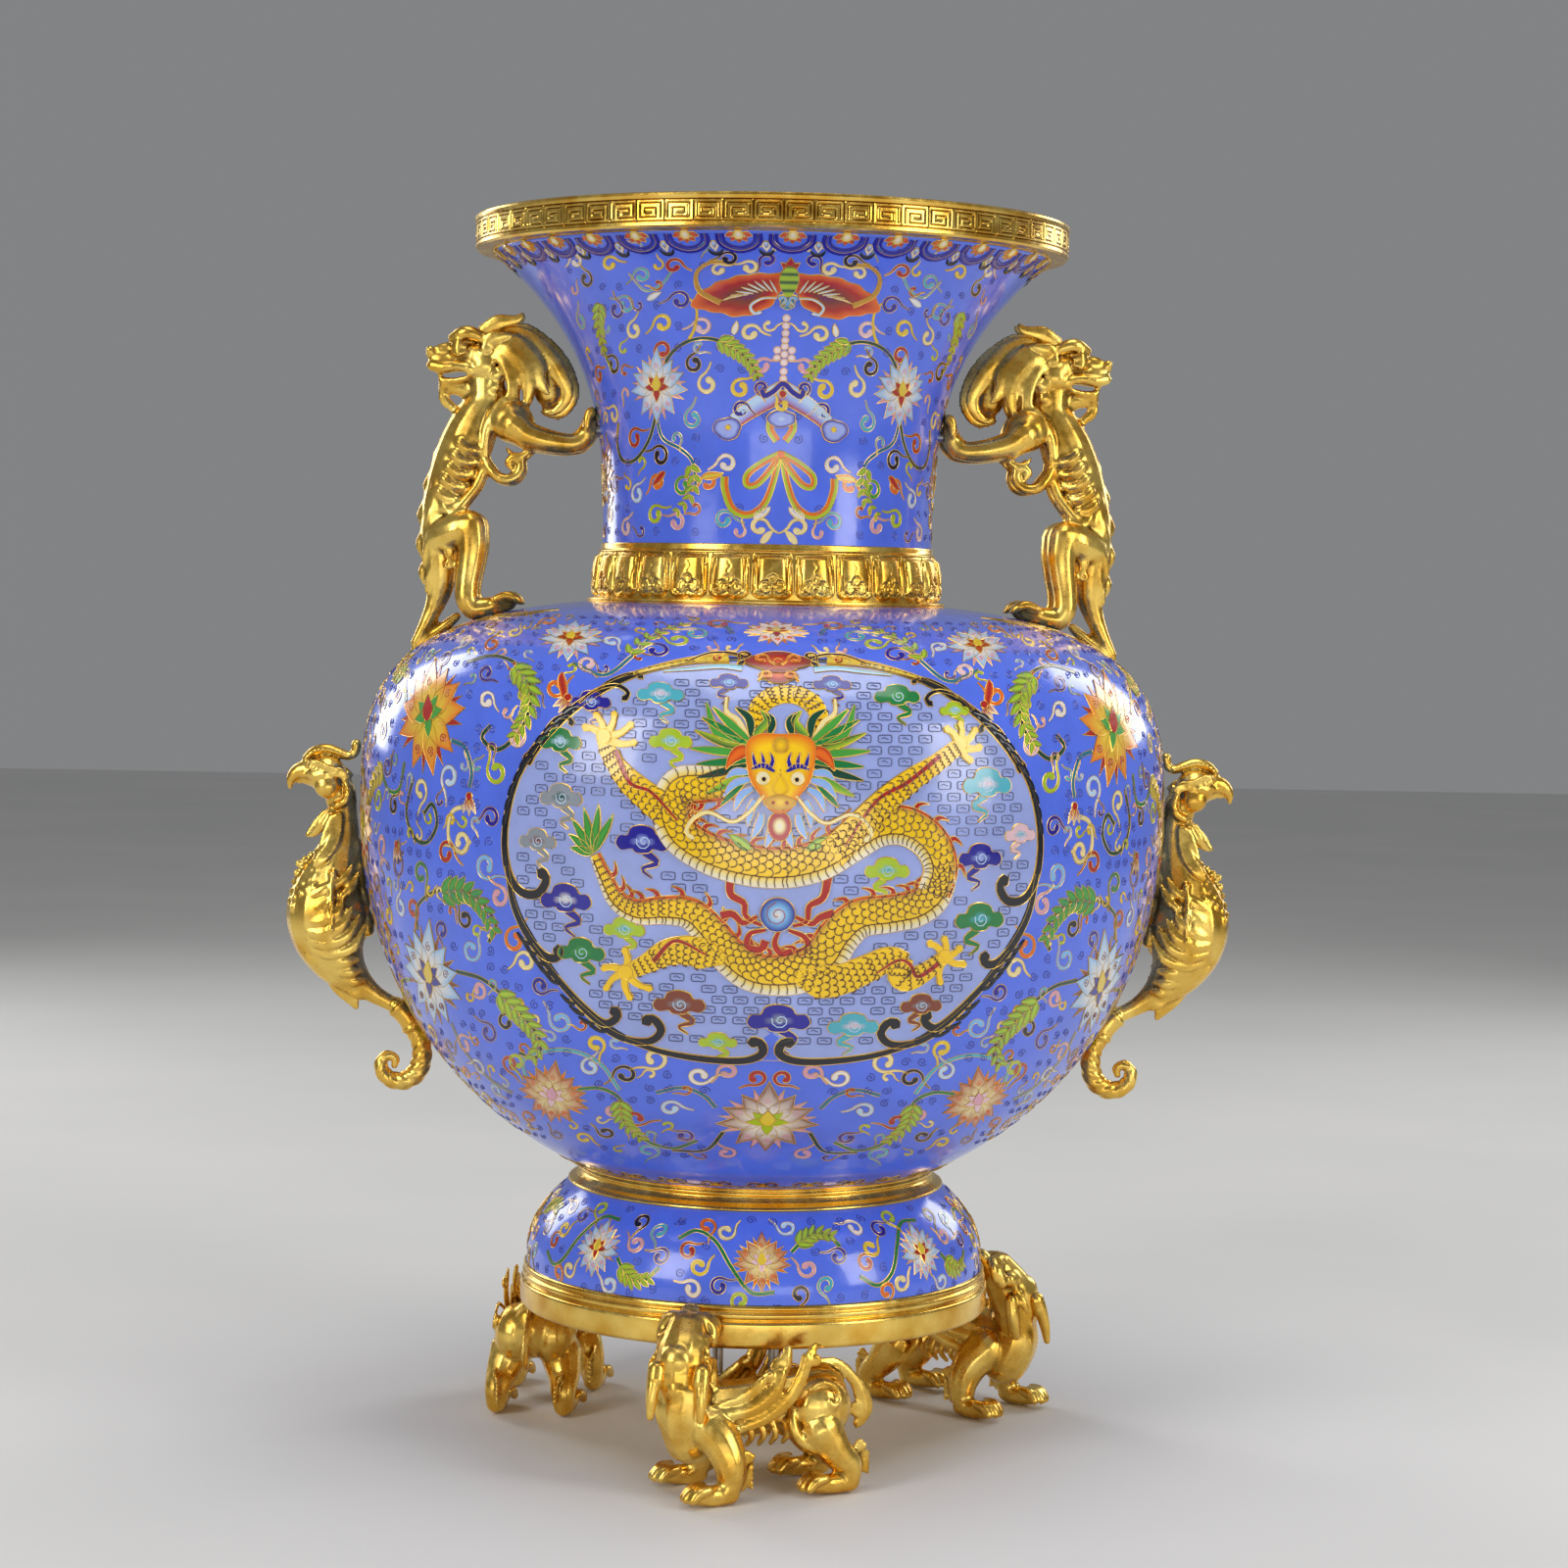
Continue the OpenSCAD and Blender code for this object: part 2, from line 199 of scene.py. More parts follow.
def gilding(name, roughness, grain=0.00004, tarnish_and_shade=1.0):
    """Gilt bronze with cloudy colour, uneven polish, a fine cast grain, and tarnish plus painted shade in its
    hollows.
    """
    material, tree, shader = new_material(name, Metallic=1.0)
    cloud = remap(tree, noise(tree, 60, 4), 0.35, 0.65, 0, 1)
    tone = blend_colours(tree, cloud, GOLD_DEEP, GOLD_BRIGHT)
    hollow = add(tree, "ShaderNodeAttribute", attribute_name="hollow")
    # Painted shade with tarnish: the hollow attribute darkens the gold in grooves, where occlusion would
    # shade it.
    depth = remap(tree, hollow.outputs["Fac"], 0.25, 1.0, 0, 0.85 * tarnish_and_shade)
    tone = blend_colours(tree, depth, tone, GOLD_TARNISH_AND_SHADE)
    tree.links.new(tone, shader.inputs["Base Color"])
    polish = remap(tree, noise(tree, 240, 3), 0.3, 0.7, roughness - 0.06, roughness + 0.08)
    tree.links.new(polish, shader.inputs["Roughness"])
    bump(tree, shader, noise(tree, 700, 5, 0.6), 0.6, grain)
    return material


gilt_cast = gilding("gilt_cast", 0.27)
gilt_turned = gilding("gilt_turned", 0.22, 0.00002)
gilt_wire = gilding("gilt_wire", 0.3, 0.00001, 0)
gilt_inside = gilding("gilt_inside", 0.42, 0.00005)
print("gildings:", [m.name for m in bpy.data.materials if m.name.startswith("gilt")])

# %% [markdown]
# ### Enamel
# The enamel is opaque glass paste, ground flat and polished. Its own colour comes from a `tint`
# attribute on each cell, which is the natural way to colour thousands of cells with one material.
# Real fired enamel is never quite even, so the tint wanders, and tiny pits break the gloss.

# %% Enamel
def enamel(name, roughness=0.16):
    """Opaque fired glass: the tint attribute, slightly clouded, with a few open pits."""
    material, tree, shader = new_material(name, Specular_IOR_Level=0.6, Coat_Weight=0.25, Coat_Roughness=0.05)
    tint = add(tree, "ShaderNodeAttribute", attribute_name="tint")
    cloud = remap(tree, noise(tree, 45, 5, 0.6), 0.3, 0.7, -0.09, 0.09)
    hue = add(tree, "ShaderNodeHueSaturation")
    value = add(tree, "ShaderNodeMath", operation="ADD")
    value.inputs[1].default_value = 1
    tree.links.new(cloud, value.inputs[0])
    tree.links.new(value.outputs[0], hue.inputs["Value"])
    tree.links.new(tint.outputs["Color"], hue.inputs["Color"])
    pits = add(tree, "ShaderNodeTexVoronoi", Scale=420.0, feature="F1")
    place = add(tree, "ShaderNodeTexCoord")
    tree.links.new(place.outputs["Object"], pits.inputs["Vector"])
    pit = remap(tree, pits.outputs["Distance"], 0.05, 0.11, 1, 0)
    rare = remap(tree, noise(tree, 130, 2), 0.58, 0.64, 0, 1)
    both = add(tree, "ShaderNodeMath", operation="MULTIPLY")
    tree.links.new(pit, both.inputs[0])
    tree.links.new(rare, both.inputs[1])
    tone = blend_colours(tree, both.outputs[0], hue.outputs["Color"], (0.16, 0.15, 0.22))
    tree.links.new(tone, shader.inputs["Base Color"])
    polish = remap(tree, noise(tree, 160, 4), 0.3, 0.7, roughness - 0.05, roughness + 0.07)
    tree.links.new(polish, shader.inputs["Roughness"])
    bump(tree, shader, noise(tree, 110, 3), 0.25, 0.0002)
    return material


enamelled = enamel("enamelled")

# %% Steel, floor
steel, steel_tree, steel_shader = new_material("steel", Metallic=1.0)
steel_cloud = remap(steel_tree, noise(steel_tree, 300, 4), 0.3, 0.7, 0, 1)
steel_tone = blend_colours(steel_tree, steel_cloud, (0.50, 0.50, 0.50), (0.68, 0.67, 0.65))
steel_tree.links.new(steel_tone, steel_shader.inputs["Base Color"])
steel_polish = remap(steel_tree, noise(steel_tree, 900, 3), 0.3, 0.7, 0.28, 0.45)
steel_tree.links.new(steel_polish, steel_shader.inputs["Roughness"])

floor_paint, floor_tree, floor_shader = new_material("floor_paint", Roughness=0.6)
floor_cloud = remap(floor_tree, noise(floor_tree, 3, 3), 0.3, 0.7, 0, 1)
floor_tone = blend_colours(floor_tree, floor_cloud, (0.86, 0.86, 0.85), (0.89, 0.885, 0.875))
floor_tree.links.new(floor_tone, floor_shader.inputs["Base Color"])

FLOOR_HALF = 6.0
floor_mesh = bpy.data.meshes.new("floor")
corners = [(-1, -1), (1, -1), (1, 1), (-1, 1)]
floor_mesh.from_pydata([(x * FLOOR_HALF, y * FLOOR_HALF, 0) for x, y in corners], [], [(0, 1, 2, 3)])
floor_mesh.materials.append(floor_paint)
floor = bpy.data.objects.new("floor", floor_mesh)
bpy.context.scene.collection.objects.link(floor)

# %% [markdown]
# ## Writing meshes
# Every shape below is a set of whole numpy arrays. One function writes them into a mesh: points in
# millimetres, groups of faces with the same number of corners, and what each face or point carries.

# %% Mesh writer
def write_mesh(name, points, groups, materials, stands_for=(), slots=None, tint=None,
               hollow=None, normals=None, sharp=40):
    """Makes one object from arrays. points is (n, 3) in mm and groups is a list of (m, k) faces.

    slots gives a material index per face. tint and hollow are stored per point. normals are given
    per face corner; without them, edges turning by more than sharp degrees are sharp.
    """
    mesh = bpy.data.meshes.new(name)
    corners = np.concatenate([g.ravel() for g in groups])
    sizes = np.concatenate([np.full(len(g), g.shape[1]) for g in groups])
    mesh.vertices.add(len(points))
    mesh.vertices.foreach_set("co", (np.asarray(points) * MM).ravel())
    mesh.loops.add(len(corners))
    mesh.loops.foreach_set("vertex_index", corners)
    mesh.polygons.add(len(sizes))
    mesh.polygons.foreach_set("loop_start", np.cumsum(sizes) - sizes)
    for material in materials:
        mesh.materials.append(material)
    if slots is not None:
        mesh.polygons.foreach_set("material_index", slots)
    mesh.update(calc_edges=True)
    mesh.polygons.foreach_set("use_smooth", np.ones(len(sizes), bool))
    if tint is not None:
        colours = mesh.color_attributes.new("tint", "FLOAT_COLOR", "POINT")
        colours.data.foreach_set("color", np.hstack([tint, np.ones((len(tint), 1))]).ravel())
    if hollow is not None:
        mesh.attributes.new("hollow", "FLOAT", "POINT").data.foreach_set("value", hollow)
    if normals is not None:
        mesh.normals_split_custom_set(normals)
    else:
        mesh.set_sharp_from_angle(angle=math.radians(sharp))
    piece = bpy.data.objects.new(name, mesh)
    bpy.context.scene.collection.objects.link(piece)
    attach(piece, "root")
    if stands_for:
        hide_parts(*stands_for)
    triangles = int((sizes - 2).sum())
    print(f"{name}: {triangles} triangles")
    return piece


def smooth_path(points, count, closed=False):
    """Catmull-Rom curve through the points, then evenly spaced along its length."""
    p = np.asarray(points, float)
    if closed:
        p = np.vstack([p[-1], p, p[0], p[1]])
    else:
        p = np.vstack([2 * p[0] - p[1], p, 2 * p[-1] - p[-2]])
    t = np.linspace(0, len(p) - 3, 24 * (len(p) - 3) + 1)
    k = np.minimum(t.astype(int), len(p) - 4)
    u = (t - k)[:, None]
    a, b, c, d = p[k], p[k + 1], p[k + 2], p[k + 3]
    curve = 0.5 * (2 * b + (c - a) * u + (2 * a - 5 * b + 4 * c - d) * u ** 2 + (3 * b - a - 3 * c + d)
                   * u ** 3)
    length = np.concatenate([[0], np.cumsum(np.linalg.norm(np.diff(curve, axis=0), axis=1))])
    even = np.linspace(0, length[-1], count + 1 if closed else count)
    curve = np.stack([np.interp(even, length, curve[:, i]) for i in range(curve.shape[1])], 1)
    return curve[:-1] if closed else curve


def grid_faces(rows, columns, wrap_rows=False, wrap_columns=False):
    """Quads of a grid whose point (i, j) has number i * columns + j, anticlockwise in j, i."""
    i = np.arange(rows if wrap_rows else rows - 1)[:, None]
    j = np.arange(columns if wrap_columns else columns - 1)[None, :]
    i2, j2 = (i + 1) % rows, (j + 1) % columns
    corners = [i * columns + j, i * columns + j2, i2 * columns + j2, i2 * columns + j]
    return np.stack(np.broadcast_arrays(*corners), -1).reshape(-1, 4)


# %% [markdown]
# ## The turned body
# Neck, belly, foot and rings are all turned shapes, so each is a closed profile spun round the axis.
# The profiles repeat the CAD formulas: the neck opens by a power of its height, the belly is two
# superellipses, and the foot is a quarter of an ellipse. More steps than in CAD keep them smooth.

# %% Profiles of the enamelled shells
NECK_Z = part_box("neck_band")[1].z / MM
RIM_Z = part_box("mouth_rim")[0].z / MM
TOP_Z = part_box("mouth_rim")[1].z / MM
BELLY_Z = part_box("belly_shell")[0].z / MM
COLLAR_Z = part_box("lotus_collar")[0].z / MM
BAND_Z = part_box("neck_band")[0].z / MM
WAIST_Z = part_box("waist_ring")[0].z / MM
FOOT_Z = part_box("base_ring")[1].z / MM
BASE_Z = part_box("base_ring")[0].z / MM
WIDE_Z = BELLY_Z + 175.5
BELLY_R = 198.2
NECK_R = 81.4


def neck_radius(z):
    """A cylinder plus a flare that grows with the power 3.1 of the height."""
    share = np.clip((z - NECK_Z) / (RIM_Z - 1 - NECK_Z), 0, 1)
    return NECK_R + 54.7 * share ** 3.1


def belly_radius(z, inset=0.0):
    """Two superellipses: |r/R|^n + |z/h|^n = 1, with n 3.3 above the widest level and 2.1 below."""
    above = z > WIDE_Z
    height = np.where(above, 103.5, 194.5) - inset
    power = np.where(above, 3.3, 2.1)
    share = np.clip(np.abs(z - WIDE_Z) / height, 0, 1)
    return (BELLY_R - inset) * (1 - share ** power) ** (1 / power)


def foot_radius(z, inset=0.0):
    """A quarter ellipse, 113.5 wide and 65.6 high, less an inset."""
    share = np.clip((z - FOOT_Z - 2.5) / (65.6 - inset), 0, 1)
    return (113.5 - inset) * np.sqrt(1 - share ** 2)


def span(low, high, count):
    """Heights from low to high, closer together near both ends."""
    return low + (high - low) * (1 - np.cos(np.linspace(0, np.pi, count))) / 2


def spin(name, profile, materials, stands_for, sides=256, slots=None, tint=None, sharp=40, hollow=None):
    """Spins a closed profile of (r, z) round the axis: x = r sin a, y = -r cos a."""
    profile = np.asarray(profile, float)
    angle = np.linspace(0, 2 * np.pi, sides, endpoint=False)[None, :]
    r, z = profile[:, :1], profile[:, 1:]
    points = np.stack(np.broadcast_arrays(r * np.sin(angle), -r * np.cos(angle), z), -1)
    faces = grid_faces(len(profile), sides, True, True)
    if tint is not None:
        tint = np.tile(tint, (len(points.reshape(-1, 3)), 1))
    if slots is not None:
        slots = np.repeat(slots, sides)
    if hollow is not None:
        hollow = np.repeat(hollow, sides)
    return write_mesh(name, points.reshape(-1, 3), [faces], materials, stands_for,
                      slots=slots, tint=tint, sharp=sharp, hollow=hollow)


def column(radius, heights):
    """Profile points (r, z) from a radius function and an array of heights."""
    return np.stack([radius, heights], 1)


# %% [markdown]
# ### Enamel grounds
# The ground of the neck, belly and foot is a strong periwinkle blue. Each shell has its true wall, and
# the inside, which was never enamelled to be looked at, is plain gilt copper.

# %% Enamelled shells
GROUND = linear((0.33, 0.45, 0.93))
WALL = 3.0
BORE_R = 78.0
SPIGOT_R = 80.5

z = span(NECK_Z, RIM_Z - 0.5, 70)
inner_z = span(NECK_Z + 18, RIM_Z, 40)
neck_out = column(neck_radius(z), z)
neck_in = column(BORE_R + neck_radius(inner_z) - neck_radius(NECK_Z + 18), inner_z)
neck_profile = np.vstack([
    [(BORE_R, COLLAR_Z - 5.2), (SPIGOT_R, COLLAR_Z - 5.2), (SPIGOT_R, NECK_Z)],
    neck_out, [(137.5, RIM_Z), (137.5, RIM_Z + 5.8), (134.5, RIM_Z + 5.8)], neck_in[::-1],
])
inside = np.arange(len(neck_profile)) >= len(neck_out) + 2
spin("neck_ground", neck_profile, [enamelled, gilt_inside], ["neck_shell"],
     slots=inside.astype(np.int32), tint=GROUND)

z = span(BELLY_Z, COLLAR_Z, 120)
inner_z = span(BELLY_Z + 4, COLLAR_Z - WALL, 60)
belly_out = column(belly_radius(z), z)
belly_in = column(belly_radius(inner_z, WALL), inner_z)
belly_profile = np.vstack([
    [(5.2, BELLY_Z)], belly_out, [(SPIGOT_R + 0.2, COLLAR_Z), (SPIGOT_R + 0.2, COLLAR_Z - WALL)],
    belly_in[::-1], [(5.2, BELLY_Z + 4)],
])
inside = np.arange(len(belly_profile)) >= len(belly_out)
spin("belly_ground", belly_profile, [enamelled, gilt_inside], ["belly_shell"],
     slots=inside.astype(np.int32), tint=GROUND)

z = span(FOOT_Z, WAIST_Z, 40)
inner_z = span(FOOT_Z, WAIST_Z - WALL, 16)
foot_profile = np.vstack([
    column(foot_radius(z), z), [(74, WAIST_Z), (74, WAIST_Z - WALL)],
    column(foot_radius(inner_z, WALL), inner_z)[::-1],
])
inside = np.arange(len(foot_profile)) >= 40
spin("foot_ground", foot_profile, [enamelled, gilt_inside], ["foot_shell"],
     slots=inside.astype(np.int32), tint=GROUND)

# %% [markdown]
# ### Gilt rings
# The waist, the band over the collar and the base ring are turned mouldings. Their corners are worn
# round by polishing, so each profile is drawn with hard corners and then cut back twice, which leaves
# a small soft curve at every corner.

# %% Turned mouldings
def soften(profile, radius, rounds=2):
    """Cuts every corner of a closed outline back by radius, then again by less, to round it."""
    points = np.asarray(profile, float)
    for turn in range(rounds):
        ahead = np.roll(points, -1, 0) - points
        reach = np.linalg.norm(ahead, axis=1, keepdims=True)
        cut = np.minimum(radius / 2.4 ** turn, reach / 3) * ahead / np.maximum(reach, 1e-9)
        points = np.stack([points + cut, points + ahead - cut], 1).reshape(-1, 2)
    return points


waist_profile = [
    (72, WAIST_Z), (93.0, WAIST_Z), (93.6, WAIST_Z + 0.8), (92.8, WAIST_Z + 1.6), (89.4, WAIST_Z + 3.2),
    (87.4, WAIST_Z + 5.2), (87.2, WAIST_Z + 6.2), (88.4, WAIST_Z + 6.8), (88.8, WAIST_Z + 7.5),
    (88.4, WAIST_Z + 8.2), (87.6, WAIST_Z + 8.8), (88.2, WAIST_Z + 9.6), (89.4, BELLY_Z), (72, BELLY_Z),
]
spin("waist_ring_turned", soften(waist_profile, 0.4), [gilt_turned], ["waist_ring"])

band_profile = [
    (SPIGOT_R + 0.1, BAND_Z), (83.0, BAND_Z), (83.4, BAND_Z + 0.5), (83.2, BAND_Z + 1.1),
    (82.0, BAND_Z + 1.6),
    (82.0, NECK_Z - 0.6), (81.7, NECK_Z), (SPIGOT_R + 0.1, NECK_Z),
]
spin("neck_band_turned", soften(band_profile, 0.3), [gilt_turned], ["neck_band"])

base_profile = [
    (104, BASE_Z), (115.3, BASE_Z), (116.5, BASE_Z + 1.4), (116.5, BASE_Z + 11.8), (115.8, BASE_Z + 12.6),
    (114.6, BASE_Z + 12.9), (114.5, BASE_Z + 13.6), (115.4, BASE_Z + 14.1), (115.6, BASE_Z + 15.4),
    (115.4, BASE_Z + 16.4), (114.4, BASE_Z + 16.9), (114.3, BASE_Z + 17.6), (115.0, BASE_Z + 18.2),
    (115.0, BASE_Z + 19.4), (114.2, FOOT_Z), (108, FOOT_Z), (108, BASE_Z + 3), (104, BASE_Z + 3),
]
spin("base_ring_turned", soften(base_profile, 0.5), [gilt_turned], ["base_ring"])

# %% [markdown]
# The rim and the collar are carved. A carved ring is a spun profile with a depth for every point, in
# rows up the profile and columns round it. The fret on the rim is a squared spiral drawn on a grid
# of 24 by 17 steps; the collar is a row of lotus tongues with raised double edges and three curls.

# %% Carved rings
def carved(name, profile, depth, stands_for, hollow, material=gilt_turned, sharp=30):
    """Spins a closed profile of (r, z), taking depth (rows, columns) off its radius."""
    sides = depth.shape[1]
    angle = np.linspace(0, 2 * np.pi, sides, endpoint=False)[None, :]
    r = np.asarray(profile)[:, :1] - depth
    z = np.repeat(np.asarray(profile)[:, 1:], sides, 1)
    points = np.stack([r * np.sin(angle), -r * np.cos(angle), z], -1).reshape(-1, 3)
    faces = grid_faces(len(profile), sides, True, True)
    return write_mesh(name, points, [faces], [material], [stands_for], hollow=hollow.ravel(),
                      sharp=sharp)


def to_path(x, y, path):
    """Distance of grid points from a bent line."""
    best = np.full(np.broadcast(x, y).shape, 1e9)
    for (ax, ay), (bx, by) in zip(path[:-1], path[1:]):
        t = np.clip(((x - ax) * (bx - ax) + (y - ay) * (by - ay)) / ((bx - ax) ** 2 + (by - ay) ** 2), 0, 1)
        best = np.minimum(best, np.hypot(x - ax - t * (bx - ax), y - ay - t * (by - ay)))
    return best


RIM_R = 146.2
FRETS, STEPS = 66, 24
fret_path = [(3, 3), (3, 14), (21, 14), (21, 3), (7, 3), (7, 10), (17, 10), (17, 6.6), (11, 6.6)]
fret_z = RIM_Z + 2.9 + 10.0 * np.arange(-1, 19) / 17
rim_low = soften([(RIM_R - 8.5, RIM_Z), (RIM_R - 1.6, RIM_Z), (RIM_R - 0.5, RIM_Z + 1.0)], 0.3, 0)
rim_high = np.array([(RIM_R - 0.5, TOP_Z - 2.9), (RIM_R - 0.2, TOP_Z - 2.2), (RIM_R, TOP_Z - 1.5),
                     (RIM_R - 0.3, TOP_Z - 0.5), (RIM_R - 1, TOP_Z),
                     (RIM_R - 5, TOP_Z), (RIM_R - 9, TOP_Z), (RIM_R - 10.8, TOP_Z - 0.8),
                     (RIM_R - 11.5, TOP_Z - 2.5), (RIM_R - 11.8, RIM_Z + 6), (RIM_R - 8.5, RIM_Z + 6)])
rim_profile = np.vstack([rim_low, column(np.full(len(fret_z), RIM_R - 0.5), fret_z), rim_high])
column_x = np.arange(STEPS * FRETS)
unit, inside_x = column_x // STEPS, column_x % STEPS
inside_x = np.where(unit % 2 == 0, inside_x, STEPS - inside_x)[None, :]
row_y = np.arange(-1, 19)[:, None]
groove = np.clip(1.3 - 1.2 * to_path(inside_x, row_y, fret_path), 0, 1)
groove = np.maximum(groove, np.where((inside_x % STEPS == 0) & (row_y >= 1) & (row_y <= 16), 1.0, 0.0))
groove = np.maximum(groove, np.where((row_y == 0) | (row_y == 17), 0.9, 0.0))
rim_depth = np.zeros((len(rim_profile), len(column_x)))
rim_depth[len(rim_low):len(rim_low) + 20] = 0.6 * groove
# The fret's grooves get a high hollow, so the gilding paints shade into them, along with tarnish.
rim_hollow = np.full_like(rim_depth, 0.05)
rim_hollow[len(rim_low):len(rim_low) + 20] = 0.05 + 0.95 * groove
carved("mouth_rim_carved", rim_profile, rim_depth, "mouth_rim", rim_hollow)

LAPPETS, PER_LAPPET, ROWS = 26, 40, 40
wall = smooth_path([(85.0, COLLAR_Z + 2.4), (85.1, COLLAR_Z + 6), (84.8, COLLAR_Z + 11),
                    (84.0, COLLAR_Z + 17.5), (82.6, BAND_Z)], ROWS)
collar_profile = np.vstack([[(SPIGOT_R + 0.1, COLLAR_Z), (88.0, COLLAR_Z), (88.4, COLLAR_Z + 0.8),
                             (88.2, COLLAR_Z + 1.8), (86.2, COLLAR_Z + 2.2)], wall,
                            [(SPIGOT_R + 0.1, BAND_Z)]])
x = ((np.arange(LAPPETS * PER_LAPPET) % PER_LAPPET) / PER_LAPPET - 0.5)[None, :] * 21.2
y = np.linspace(0, 21.8, ROWS)[:, None]
foot_line = 0.7 + 0.9 * np.exp(-(x / 1.6) ** 2) + 4.6 * (1
        - np.sqrt(np.clip(1 - (np.clip(np.abs(x) - 4.8, 0, 5) / 5.2) ** 2, 0, 1)))
edge = np.minimum(9.9 - np.abs(x) - 0.02 * y, (y - foot_line) * 0.9)
height = 1.5 * np.clip(edge / 0.7, 0,
                       1) - 0.75 * np.exp(-((edge - 1.5) / 0.34) ** 2) - 0.75 * np.exp(-((edge - 2.9)
        / 0.34) ** 2)
height += np.where(edge > 3.2, 0.9 * (1 - (x / 7.4) ** 2) * np.clip((edge - 3.2) / 1.4, 0, 1), 0)
for cx, cy, size, hand in ((-3.1, 6.0, 2.9, 1), (3.1, 6.0, 2.9, -1), (0, 9.3, 2.3, 1)):
    away, way = np.hypot(x - cx, y - cy), np.arctan2(y - cy, (x - cx) * hand)
    ridge = 0.5 + 0.5 * np.cos(2 * np.pi * away / 1.5 - way)
    inside_curl = np.clip((size - away) / 0.4, 0, 1)
    height = height * (1 - inside_curl) + inside_curl * (1.35 + 0.45 * ridge)
    height -= 0.7 * np.exp(-((away - size - 0.1) / 0.3) ** 2)
height -= 0.35 * np.exp(-((x - 0.8 * np.sin(1.3 * y)) / 0.3) ** 2) * np.clip((y - 11.4) / 1, 0,
        1) * np.clip((18.5 - y) / 1, 0, 1)
height *= np.clip((21.8 - y) / 2.2, 0.25, 1)
blurred = height.copy()
for _ in range(10):
    blurred = (blurred + np.roll(blurred, 1, 1) + np.roll(blurred, -1, 1)
               + np.vstack([blurred[:1], blurred[:-1]]) + np.vstack([blurred[1:], blurred[-1:]])) / 5
collar_depth = np.zeros((len(collar_profile), x.shape[1]))
collar_depth[5:-1] = -height
# Hollow here is depth below the blurred relief: the gilding paints shade into these cavities, along with
# tarnish.
collar_hollow = np.full_like(collar_depth, 0.1)
collar_hollow[5:-1] = np.clip(0.1 + 1.3 * (blurred - height), 0, 1)
collar_depth = np.roll(collar_depth, PER_LAPPET // 2, axis=1)
collar_hollow = np.roll(collar_hollow, PER_LAPPET // 2, axis=1)
carved("lotus_collar_carved", collar_profile, collar_depth, "lotus_collar", collar_hollow, gilt_cast, 60)

# %% [markdown]
# ## Drawing with cloisons
# A cloison is a strip of gilt wire soldered on edge, which keeps two enamels apart. Painting the
# pattern as colour would lose the wires, so it is built: every cell is a thin closed plate with a
# wire along its edge, drawn flat in millimetres and then wrapped on the vase.
#
# A `Skin` does the wrapping. Flat x becomes an angle, x / r, and flat y becomes a length along the
# profile, so a motif keeps its size wherever it lies.

# %% Skins to draw on
class Skin:
    """An outer surface laid out flat: x runs round it, y runs up its profile, both in mm."""

    def __init__(self, radius, low, high):
        self.z = span(low, high, 3000)
        self.r = radius(self.z)
        step_r, step_z = np.gradient(self.r), np.gradient(self.z)
        length = np.hypot(step_r, step_z)
        self.up_r, self.up_z = step_r / length, step_z / length
        self.y = np.concatenate([[0], np.cumsum(np.hypot(np.diff(self.r), np.diff(self.z)))])

    def wrap(self, x, y, lift, azimuth, height):
        """Points, and the directions right, up and out of the surface, for flat x, y and lift.

        azimuth is in degrees from the front and height is the z of the motif's own origin.
        """
        y = np.interp(height, self.z, self.y) + y
        r, z = np.interp(y, self.y, self.r), np.interp(y, self.y, self.z)
        up_r, up_z = np.interp(y, self.y, self.up_r), np.interp(y, self.y, self.up_z)
        angle = np.radians(azimuth) + x / r
        sine, cosine = np.sin(angle), np.cos(angle)
        zero = np.zeros_like(angle)
        out = np.stack([up_z * sine, -up_z * cosine, -up_r], 1)
        right = np.stack([cosine, sine, zero], 1)
        up = np.stack([up_r * sine, -up_r * cosine, up_z], 1)
        points = np.stack([r * sine, -r * cosine, z], 1) + lift[:, None] * out
        return points, right, up, out


neck_skin = Skin(neck_radius, NECK_Z, RIM_Z - 0.5)
belly_skin = Skin(belly_radius, BELLY_Z, COLLAR_Z)
foot_skin = Skin(foot_radius, FOOT_Z, WAIST_Z)
print("profile lengths:", [round(float(s.y[-1]), 1) for s in (neck_skin, belly_skin, foot_skin)])

# %% [markdown]
# A drawing is a dictionary of arrays. Two shapes are enough for everything: a strip carried along a
# path, and a plate round a centre. Each has the same cross-section, from its buried edge over the
# wire's ridge to the enamel and back. The wire's own slopes lean the shading outwards, so a wire
# catches the light as a round one does.

# %% Strips and plates
WIRE = 0.22
SUNK, CREST, FILL = -0.25, 0.26, 0.10


def drawing(xy, lift, tint, side, faces, gold, lean):
    """Packs one shape: points, heights, colours, sideways directions, faces and their shading."""
    return {"xy": xy, "lift": lift, "tint": tint, "side": side, "faces": faces, "gold": gold, "lean": lean}


def path_length(path):
    """Length at each point of a path, from its start."""
    return np.concatenate([[0], np.cumsum(np.linalg.norm(np.diff(path, axis=0), axis=1))])


